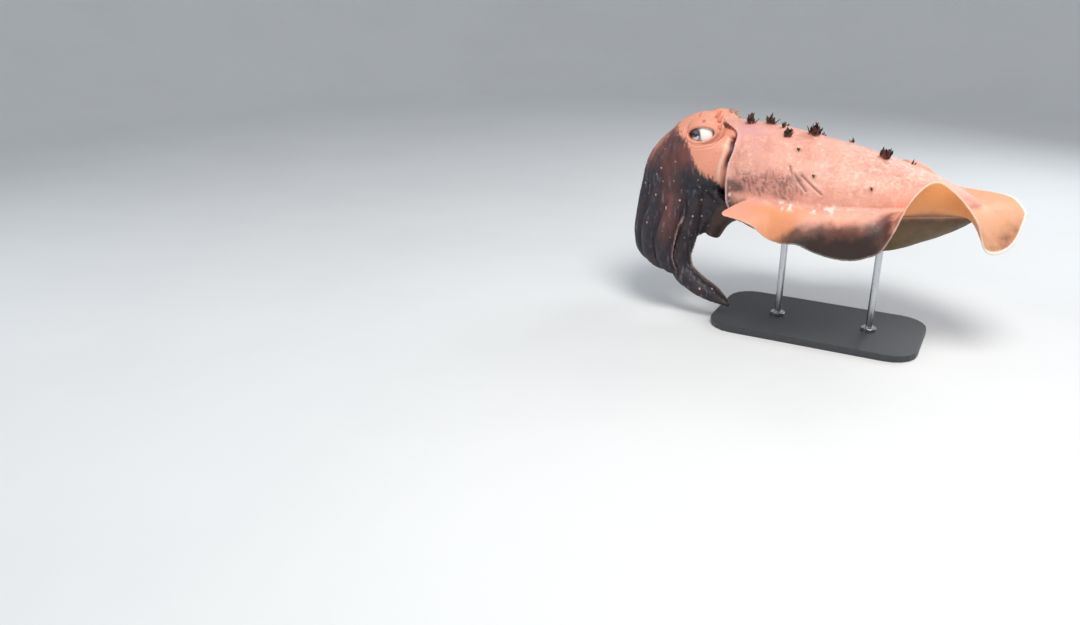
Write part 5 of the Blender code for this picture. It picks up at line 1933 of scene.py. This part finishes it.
class Effects:
    """Shader groups that several materials share, each made when it is first asked for."""

    @staticmethod
    def blotches() -> NodeTree:
        """Returns the group that mixes a colour with another in soft seeded blotches."""
        if "blotches" in bpy.data.node_groups:
            return bpy.data.node_groups["blotches"]
        inputs = {"Color A": "Color", "Color B": "Color"}
        inputs |= {"Scale": "Float", "Low": "Float", "High": "Float", "Amount": "Float"}
        group = Group("blotches", inputs, "Color", "Color")
        given = group.given
        spots = group.span(group.noise(given["Scale"], 4.0, 0.6), given["Low"], given["High"])
        share = group.maths("MULTIPLY", spots, given["Amount"])
        group.put(group.mix(given["Color A"], given["Color B"], share), group.out)
        return group.tree

    @staticmethod
    def grain() -> NodeTree:
        """Returns the group that gives the fine grain of skin or metal as a height."""
        if "grain" in bpy.data.node_groups:
            return bpy.data.node_groups["grain"]
        inputs = {"Scale": "Float", "Stretch": "Vector", "Cells": "Float"}
        group = Group("grain", inputs, "Height", "Float")
        given = group.given
        spread = group.node("VectorMath", {0: group.place(), 1: given["Stretch"]}, operation="MULTIPLY")
        texture = {"Vector": spread.outputs[0], "Scale": given["Scale"]}
        noise = group.node("TexNoise", {**texture, "Detail": 5.0}).outputs["Fac"]
        cells = group.node("TexVoronoi", texture, feature="SMOOTH_F1").outputs["Distance"]
        share = group.maths("MULTIPLY", cells, given["Cells"])
        group.put(group.maths("SUBTRACT", noise, share), group.out)
        return group.tree


class Paint(Sketch):
    """A material's nodes, with calls for its masks, the shared effects and its shader."""

    def __init__(self, name: str, roughness: float, values: dict[str, object] | None = None) -> None:
        """Makes the material.

        Args:
            name: Its name.
            roughness: Its plain roughness.
            values: Other plain values, by the shader's sockets.
        """
        self.material = bpy.data.materials.new(name)
        self.material.use_nodes = True
        super().__init__(self.material.node_tree)
        self.shader = self.nodes["Principled BSDF"].inputs
        for key, value in {"Roughness": roughness, **(values or {})}.items():
            self.put(value, self.shader[key])

    def mask(self, name: str, strength: float = 1.0) -> Socket:
        """Returns one of the masks stored on the mesh's points, at a strength."""
        value = self.node("Attribute", {}, attribute_name=name).outputs["Fac"]
        return value if strength == 1.0 else self.maths("MULTIPLY", value, strength)

    def layers(self, colour: object, *layers: tuple[str, object, float]) -> Socket:
        """Lays colours over one another.

        Args:
            colour: The lowest colour.
            layers: Each later one's mask, colour and strength.

        Returns:
            The colour of them all.
        """
        for name, over, strength in layers:
            colour = self.mix(colour, over, self.mask(name, strength))
        return colour

    def blotches(
        self, first: object, second: object, scale: float, low: float, high: float, amount: object
    ) -> Socket:
        """Mixes two colours in blotches.

        Args:
            first: The colour between the blotches.
            second: The colour of the blotches.
            scale: How fine the noise is.
            low: The noise where a blotch begins.
            high: The noise where it is full.
            amount: How strong a full blotch is.

        Returns:
            The mixed colour.
        """
        names = ("Color A", "Color B", "Scale", "Low", "High", "Amount")
        inputs = dict(zip(names, (first, second, scale, low, high, amount)))
        return self.node("Group", inputs, node_tree=Effects.blotches()).outputs["Color"]

    def grain(self, scale: float, cells: float = 0.0, stretch: Colour = (1.0, 1.0, 1.0)) -> Socket:
        """Returns the height of a fine grain."""
        inputs = {"Scale": scale, "Stretch": stretch, "Cells": cells}
        return self.node("Group", inputs, node_tree=Effects.grain()).outputs["Height"]

    def dots(self, scale: float, size: float, share: float) -> Socket:
        """Draws small round dots, one in some of the cells of a seeded pattern.

        Args:
            scale: Cells in a metre.
            size: A dot's radius as a share of a cell.
            share: Share of the cells that have a dot.

        Returns:
            1 in a dot and 0 off it.
        """
        cells = self.node("TexVoronoi", {"Vector": self.place(), "Scale": scale}).outputs
        red = self.node("SeparateColor", {"Color": cells["Color"]}).outputs["Red"]
        inside = self.span(cells["Distance"], size * 0.6, size, 1.0, 0.0)
        return self.maths("MULTIPLY", inside, self.maths("LESS_THAN", red, share))

    def finish(self, colour: object, height: Socket, depth: float) -> Material:
        """Sets the base colour and raises the height over the surface.

        Args:
            colour: The base colour.
            height: The height of the grain.
            depth: How deep it is, in metres.

        Returns:
            The material.
        """
        self.put(colour, self.shader["Base Color"])
        bump = self.node("Bump", {"Distance": depth, "Strength": 1.0, "Height": height})
        self.put(bump.outputs["Normal"], self.shader["Normal"])
        return self.material


@dataclass(frozen=True)
class SkinFinish:
    """Colours of the living skin, with the shade, shadow, highlights and glow painted on it."""

    pink: Colour = srgb(222, 162, 144)
    rose: Colour = srgb(200, 132, 116)
    pale: Colour = srgb(238, 200, 182)
    frost: Colour = srgb(240, 214, 198)
    mauve: Colour = srgb(212, 154, 154)
    salmon: Colour = srgb(240, 162, 136)
    salmon_deep: Colour = srgb(230, 158, 120)
    peach: Colour = srgb(222, 168, 122)
    # Colours of the painted shade on the mantle's underside.
    shaded_belly: Colour = srgb(104, 80, 46)
    shaded_belly_dark: Colour = srgb(76, 57, 34)
    amber: Colour = srgb(240, 156, 90)
    amber_deep: Colour = srgb(224, 136, 72)
    umber: Colour = srgb(112, 74, 48)
    # Red-brown of the painted shade on the hanging fin, and of the rear lobe's darker bottom.
    rust: Colour = srgb(98, 48, 36)
    plum: Colour = srgb(98, 54, 60)
    collar_shadow_red: Colour = srgb(72, 28, 28)
    dark: Colour = srgb(28, 27, 36)
    dark_brown: Colour = srgb(58, 42, 45)
    dark_red: Colour = srgb(112, 62, 58)
    funnel: Colour = srgb(86, 60, 48)
    funnel_dark: Colour = srgb(56, 40, 36)
    oral: Colour = srgb(186, 150, 140)
    white: Colour = srgb(246, 236, 226)
    # Dark brown of painted shade and shadow, and of stains and freckles.
    soil: Colour = srgb(56, 36, 32)
    deepest_fin_shade: Colour = srgb(36, 20, 15)
    lilac: Colour = srgb(220, 180, 178)
    silver: Colour = srgb(122, 108, 124)

    def material(self) -> Material:
        """Returns the skin's material, coloured by the masks on the mesh."""
        glow = {"Subsurface Weight": 0.12, "Subsurface Radius": (0.006, 0.0025, 0.0015)}
        paint = Paint("skin", 0.50, glow)
        blotches = paint.blotches
        flesh = blotches(self.pink, self.rose, 40.0, 0.40, 0.70, 0.65)
        flesh = blotches(flesh, self.pale, 120.0, 0.50, 0.74, 0.60)
        flesh = blotches(flesh, self.rose, 330.0, 0.52, 0.70, 0.50)
        flesh = blotches(flesh, self.mauve, 18.0, 0.35, 0.65, paint.mask("mauve"))
        night = blotches(self.dark, self.dark_brown, 46.0, 0.42, 0.70, 0.85)
        night = paint.layers(
            night,
            ("rust", self.dark_red, 1.0),
            ("blush", self.rose, 0.80),
            # Painted highlight streaks on the dark arms and head.
            ("silver", self.silver, 0.80),
            ("oral", self.oral, 0.65),
        )
        pips = paint.maths("MULTIPLY", paint.mask("pip"), paint.dots(104.0, 0.19, 0.30))
        night = paint.mix(night, self.pale, paint.maths("MULTIPLY", pips, 0.6))
        colour = paint.layers(
            flesh,
            ("frost", self.frost, 0.45),
            ("warm", blotches(self.salmon, self.salmon_deep, 30.0, 0.45, 0.75, 0.55), 1.0),
            ("flush", self.dark_red, 0.55),
            ("seam", self.pale, 0.75),
            # Painted shadow in the collar's gap.
            ("collar_shadow", self.collar_shadow_red, 1.0),
            ("shaded_belly", blotches(self.shaded_belly, self.shaded_belly_dark, 28.0, 0.40, 0.70, 0.7), 1.0),
            ("fin", blotches(self.salmon, self.pink, 26.0, 0.35, 0.65, 0.9), 1.0),
            ("peach", self.peach, 0.6),
            # Painted glow of light shining through the fin.
            ("fin_glow", blotches(self.amber, self.amber_deep, 22.0, 0.42, 0.75, 0.6), 1.0),
            # Painted shade on the fin's underside near its root.
            ("deep", self.umber, 0.75),
            ("shade", blotches(self.rust, self.soil, 30.0, 0.35, 0.7, 0.8), 0.88),
            # Painted shade, darkest on the hanging fin.
            ("deepest_fin_shade", self.deepest_fin_shade, 0.95),
            # Darker towards the bottom of the rear lobe.
            ("rear_lower_dark", self.rust, 0.75),
            # Purple of the wrinkled patch, and painted shade in its grooves and in the creases.
            ("wrinkle", self.plum, 0.80),
            ("fold", self.plum, 0.75),
            # Stains round the tufts and over the eyes, and painted shadow at the collar's foot.
            ("stain_and_shadow", self.soil, 0.75),
            ("funnel", blotches(self.funnel, self.funnel_dark, 40.0, 0.35, 0.65, 0.8), 1.0),
            # Painted shade inside the funnel and the mantle's pocket.
            ("bore", self.soil, 1.0),
            ("dark", paint.layers(night, ("keel", self.pale, 0.45)), 1.0),
            ("lip", self.lilac, 0.80),
            ("margin", self.white, 1.0),
            ("chalk", self.white, 1.0),
        )
        freckle = paint.span(paint.noise(900.0, 1.0), 0.60, 0.72)
        colour = paint.mix(colour, self.soil, paint.maths("MULTIPLY", freckle, 0.14))
        paint.put(paint.span(paint.noise(120.0), 0.3, 0.7, 0.42, 0.58), paint.shader["Roughness"])
        return paint.finish(colour, paint.grain(620.0, 0.5), 0.0004)


@dataclass(frozen=True)
class PapillaFinish:
    """Dark brown flaps, paler at their foot, and the flaps by the eyes in the head's colour, those by the
    far eye half darkened as painted shade.
    """

    foot: Colour = srgb(176, 112, 98)
    dark: Colour = srgb(58, 34, 30)
    ruddy: Colour = srgb(116, 64, 50)
    head: Colour = srgb(236, 158, 128)
    ruddy_head: Colour = srgb(150, 84, 64)

    def material(self) -> Material:
        """Returns the flaps' material."""
        paint = Paint("papillae", 0.5)
        night = paint.blotches(self.dark, self.ruddy, 160.0, 0.45, 0.7, 0.8)
        colour = paint.mix(self.foot, night, paint.span(paint.mask("tip"), 0.12, 0.42))
        near_eye = paint.blotches(self.head, self.ruddy_head, 120.0, 0.50, 0.75, 0.6)
        # The flaps by the eyes are ruddy at the foot, as painted shadow between them.
        near_eye = paint.mix(self.ruddy_head, near_eye, paint.span(paint.mask("tip"), 0.05, 0.35))
        colour = paint.mix(colour, near_eye, paint.span(paint.mask("vary"), 0.5, 0.6))
        return paint.finish(colour, paint.grain(900.0, 0.4), 0.0003)


@dataclass(frozen=True)
class SuckerFinish:
    """Pale cups with a darker stalk and floor."""

    rim: Colour = srgb(226, 204, 190)
    stalk: Colour = srgb(150, 108, 100)

    def material(self) -> Material:
        """Returns the suckers' material."""
        paint = Paint("suckers", 0.42)
        ring = paint.span(paint.mask("tip"), 0.30, 0.55)
        floor = paint.span(paint.mask("tip"), 0.80, 0.98, 1.0, 0.35)
        colour = paint.mix(self.stalk, self.rim, paint.maths("MULTIPLY", ring, floor))
        colour = paint.blotches(colour, self.stalk, 220.0, 0.5, 0.8, 0.3)
        return paint.finish(colour, paint.grain(1500.0), 0.0002)


@dataclass(frozen=True)
class EyeFinish:
    """Dark iris with faint silver rays and a painted silver glint, black pupil and a white hinder part."""

    white: Colour = srgb(240, 238, 234)
    vein: Colour = srgb(214, 178, 166)
    silver: Colour = srgb(206, 208, 212)
    shade: Colour = srgb(150, 124, 122)
    brown: Colour = srgb(66, 44, 48)
    violet: Colour = srgb(40, 32, 46)
    pupil: Colour = srgb(3, 3, 5)

    def material(self) -> Material:
        """Returns the eyeball's material, glossy as a wet eye."""
        gloss = {"Coat Weight": 0.9, "Coat Roughness": 0.02, "Specular IOR Level": 0.05}
        paint = Paint("eyeball", 0.45, gloss)
        white = paint.blotches(self.white, self.vein, 160.0, 0.55, 0.8, 0.35)
        white = paint.layers(white, ("shade", self.shade, 0.8))
        iris = paint.blotches(self.brown, self.violet, 420.0, 0.40, 0.65, 0.8)
        # The glint layer is a painted highlight.
        iris = paint.layers(
            iris, ("ray", self.silver, 0.16), ("glint", self.silver, 1.0), ("edge", self.white, 0.22)
        )
        colour = paint.layers(
            white, ("iris", iris, 1.0), ("rim", self.violet, 0.85), ("pupil", self.pupil, 1.0)
        )
        return paint.finish(colour, paint.grain(900.0), 0.0001)


@dataclass(frozen=True)
class MouthFinish:
    """Fleshy lips or horny beak, from two colours."""

    name: str
    first: Colour
    second: Colour
    roughness: float

    def material(self) -> Material:
        """Returns the material, darker in its folds."""
        paint = Paint(self.name, self.roughness)
        colour = paint.mix(self.first, self.second, paint.span(paint.mask("vary"), 0.2, 0.9))
        colour = paint.blotches(colour, self.second, 260.0, 0.45, 0.75, 0.4)
        return paint.finish(colour, paint.grain(1100.0, 0.3), 0.0002)


@dataclass(frozen=True)
class MetalFinish:
    """The stand's painted base or brushed rods."""

    name: str
    colour: Colour
    worn: Colour
    roughness: float
    metallic: float
    scale: float
    stretch: Colour
    depth: float

    def material(self) -> Material:
        """Returns the metal's material with its fine grain."""
        paint = Paint(self.name, self.roughness, {"Metallic": self.metallic})
        colour = paint.blotches(self.colour, self.worn, self.scale * 0.4, 0.4, 0.7, 0.5)
        height = paint.grain(self.scale, stretch=self.stretch)
        rough = paint.span(height, 0.3, 0.7, self.roughness - 0.06, self.roughness + 0.08)
        paint.put(rough, paint.shader["Roughness"])
        return paint.finish(colour, height, self.depth)


@dataclass
class Animal:
    """The cuttlefish: its skin and the small pieces set on it."""

    pose: Pose = field(default_factory=Pose)
    skin: Skin = field(default_factory=Skin)
    made: list[Piece] = field(default_factory=list)

    def settle(self, piece: Piece, material: Material, slot: Slot, *nodes: str) -> None:
        """Dresses a level piece and moves it to its place on the stand.

        Args:
            piece: The piece.
            material: Its material.
            slot: Not used.
            nodes: The part's nodes that it stands for.
        """
        piece.data.materials.clear()
        piece.data.materials.append(material)
        piece.data.shade_smooth()
        piece.data.transform(self.pose.matrix())
        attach(piece, "root")
        if nodes:
            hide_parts(*nodes)
        piece.data.calc_loop_triangles()
        LOG.info("%s: %d triangles", piece.name, len(piece.data.loop_triangles))
        self.made.append(piece)

    def build(self, nodes: list[str]) -> None:
        """Makes every piece of the animal, given the names of the part's nodes."""
        whole = self.skin.build()
        surface = BVHTree.FromObject(whole, bpy.context.evaluated_depsgraph_get())
        papillae = Papillae(self.skin, surface).build()
        suckers = Suckers(self.skin, surface).build()
        eyes = [Eye(self.skin.head, side).build() for side in Side]
        mouth = Mouth(self.skin.head)
        lips, beak = mouth.lips(), mouth.beak()
        rest = ("stand_", "eye_", "mouth")
        flesh = [name for name in nodes if not name.startswith(rest)]
        self.settle(whole, SkinFinish().material(), Slot.SKIN, *flesh)
        self.settle(papillae, PapillaFinish().material(), Slot.SKIN)
        self.settle(suckers, SuckerFinish().material(), Slot.ARM)
        finish = EyeFinish().material()
        for eye, node in zip(eyes, ("eye_left", "eye_right")):
            self.settle(eye, finish, Slot.EYE, node)
        lip_finish = MouthFinish("lips", srgb(196, 140, 126), srgb(130, 84, 80), 0.42)
        beak_finish = MouthFinish("beak", srgb(40, 26, 22), srgb(86, 52, 36), 0.25)
        self.settle(lips, lip_finish.material(), Slot.LIPS, "mouth")
        self.settle(beak, beak_finish.material(), Slot.LIPS)


@dataclass
class Stand:
    """The plain display stand, whose solids stay as they are and get their finish."""

    base: MetalFinish = MetalFinish(
        "stand_paint", srgb(58, 60, 64), srgb(48, 50, 54), 0.46, 0.0, 900.0, (1, 1, 1), 0.0002
    )
    rod: MetalFinish = MetalFinish(
        "stand_steel", srgb(196, 198, 202), srgb(178, 180, 184), 0.24, 1.0, 500.0, (1, 1, 0.05), 0.00005
    )

    def dress(self, nodes: dict[str, Piece]) -> None:
        """Gives each of the stand's nodes its material."""
        base, rod = self.base.material(), self.rod.material()
        for name, node in nodes.items():
            if name.startswith("stand_"):
                node.data.materials.clear()
                node.data.materials.append(base if name == "stand_base" else rod)


@dataclass
class Studio:
    """The pale floor, the soft lights and the camera at the photograph's angle."""

    camera_place: Triple = (0.2315, -1.3129, 0.5224)
    camera_turn: Triple = (68.469, 0.0, 28.363)
    lens: float = 30.0
    sensor: float = 36.0
    lights: tuple[tuple, ...] = (
        ("key", (0.35, -0.75, 1.55), (0.0, 0.0, 0.18), 0.7, 25.0, (1.0, 0.97, 0.92)),
        ("fill", (-1.5, -1.0, 0.8), (-0.1, 0.0, 0.2), 1.2, 5.5, (0.92, 0.96, 1.0)),
        ("back", (0.5, 1.2, 1.0), (0.0, 0.0, 0.2), 0.9, 9.0, (0.95, 0.98, 1.0)),
    )
    floor: Colour = srgb(226, 228, 230)
    floor_worn: Colour = srgb(218, 220, 223)
    floor_radius: float = 2.4
    floor_curve: float = 1.2
    floor_sides: int = 96
    sky: Colour = (0.90, 0.95, 1.0)
    sky_strength: float = 0.40

    def build(self) -> None:
        """Makes the floor, lights and camera."""
        self.make_floor()
        for name, place, aim, size, power, tint in self.lights:
            self.make_light(name, place, aim, size, power, tint)
        world = bpy.data.worlds.new("studio")
        world.use_nodes = True
        background = world.node_tree.nodes["Background"]
        background.inputs["Color"].default_value = (*self.sky, 1.0)
        background.inputs["Strength"].default_value = self.sky_strength
        bpy.context.scene.world = world
        bpy.context.scene.view_settings.view_transform = "Standard"
        data = bpy.data.cameras.new("camera")
        data.lens = self.lens
        data.sensor_width = self.sensor
        camera = add_object("camera", data)
        camera.location = self.camera_place
        camera.rotation_euler = Euler([math.radians(v) for v in self.camera_turn])
        bpy.context.scene.camera = camera

    def make_floor(self) -> None:
        """Makes the floor, curved up to a backdrop all round."""
        radius, curve, sides = self.floor_radius, self.floor_curve, self.floor_sides
        profile = [(0.001, 0.0), (1.0, 0.0), (radius, 0.0)]
        for t in np.linspace(0.15, 1.5, 9):
            profile.append((radius + curve * math.sin(t), curve - curve * math.cos(t)))
        points = [(r * math.cos(t), r * math.sin(t), z) for r, z in profile for t in turns(sides)]
        faces = [tuple(range(sides))]
        for row in range(0, (len(profile) - 1) * sides, sides):
            for j in range(sides):
                k = (j + 1) % sides
                faces.append((row + j, row + k, row + sides + k, row + sides + j))
        mesh = bpy.data.meshes.new("studio_floor")
        mesh.from_pydata(points, [], faces)
        mesh.shade_smooth()
        paint = Paint("studio_floor", 0.8)
        colour = paint.blotches(self.floor, self.floor_worn, 3.0, 0.3, 0.8, 0.5)
        paint.put(colour, paint.shader["Base Color"])
        mesh.materials.append(paint.material)
        add_object("studio_floor", mesh)

    def make_light(
        self, name: str, place: Triple, aim: Triple, size: float, power: float, tint: Colour
    ) -> None:
        """Makes one square soft light.

        Args:
            name: Its name.
            place: Where it is.
            aim: What it faces.
            size: The length of its side.
            power: Its power in watts.
            tint: Its colour.
        """
        data = bpy.data.lights.new(name, "AREA")
        data.size = size
        data.energy = power
        data.color = tint
        light = add_object(name, data)
        light.location = place
        light.rotation_euler = (Vector(place) - Vector(aim)).to_track_quat("Z", "Y").to_euler()


def main() -> None:
    """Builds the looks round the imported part."""
    logging.basicConfig(level=logging.INFO, format="%(message)s")
    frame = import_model()
    Studio().build()
    Animal().build(sorted(frame["nodes"]))
    Stand().dress(frame["nodes"])


if __name__ == "__main__":
    main()
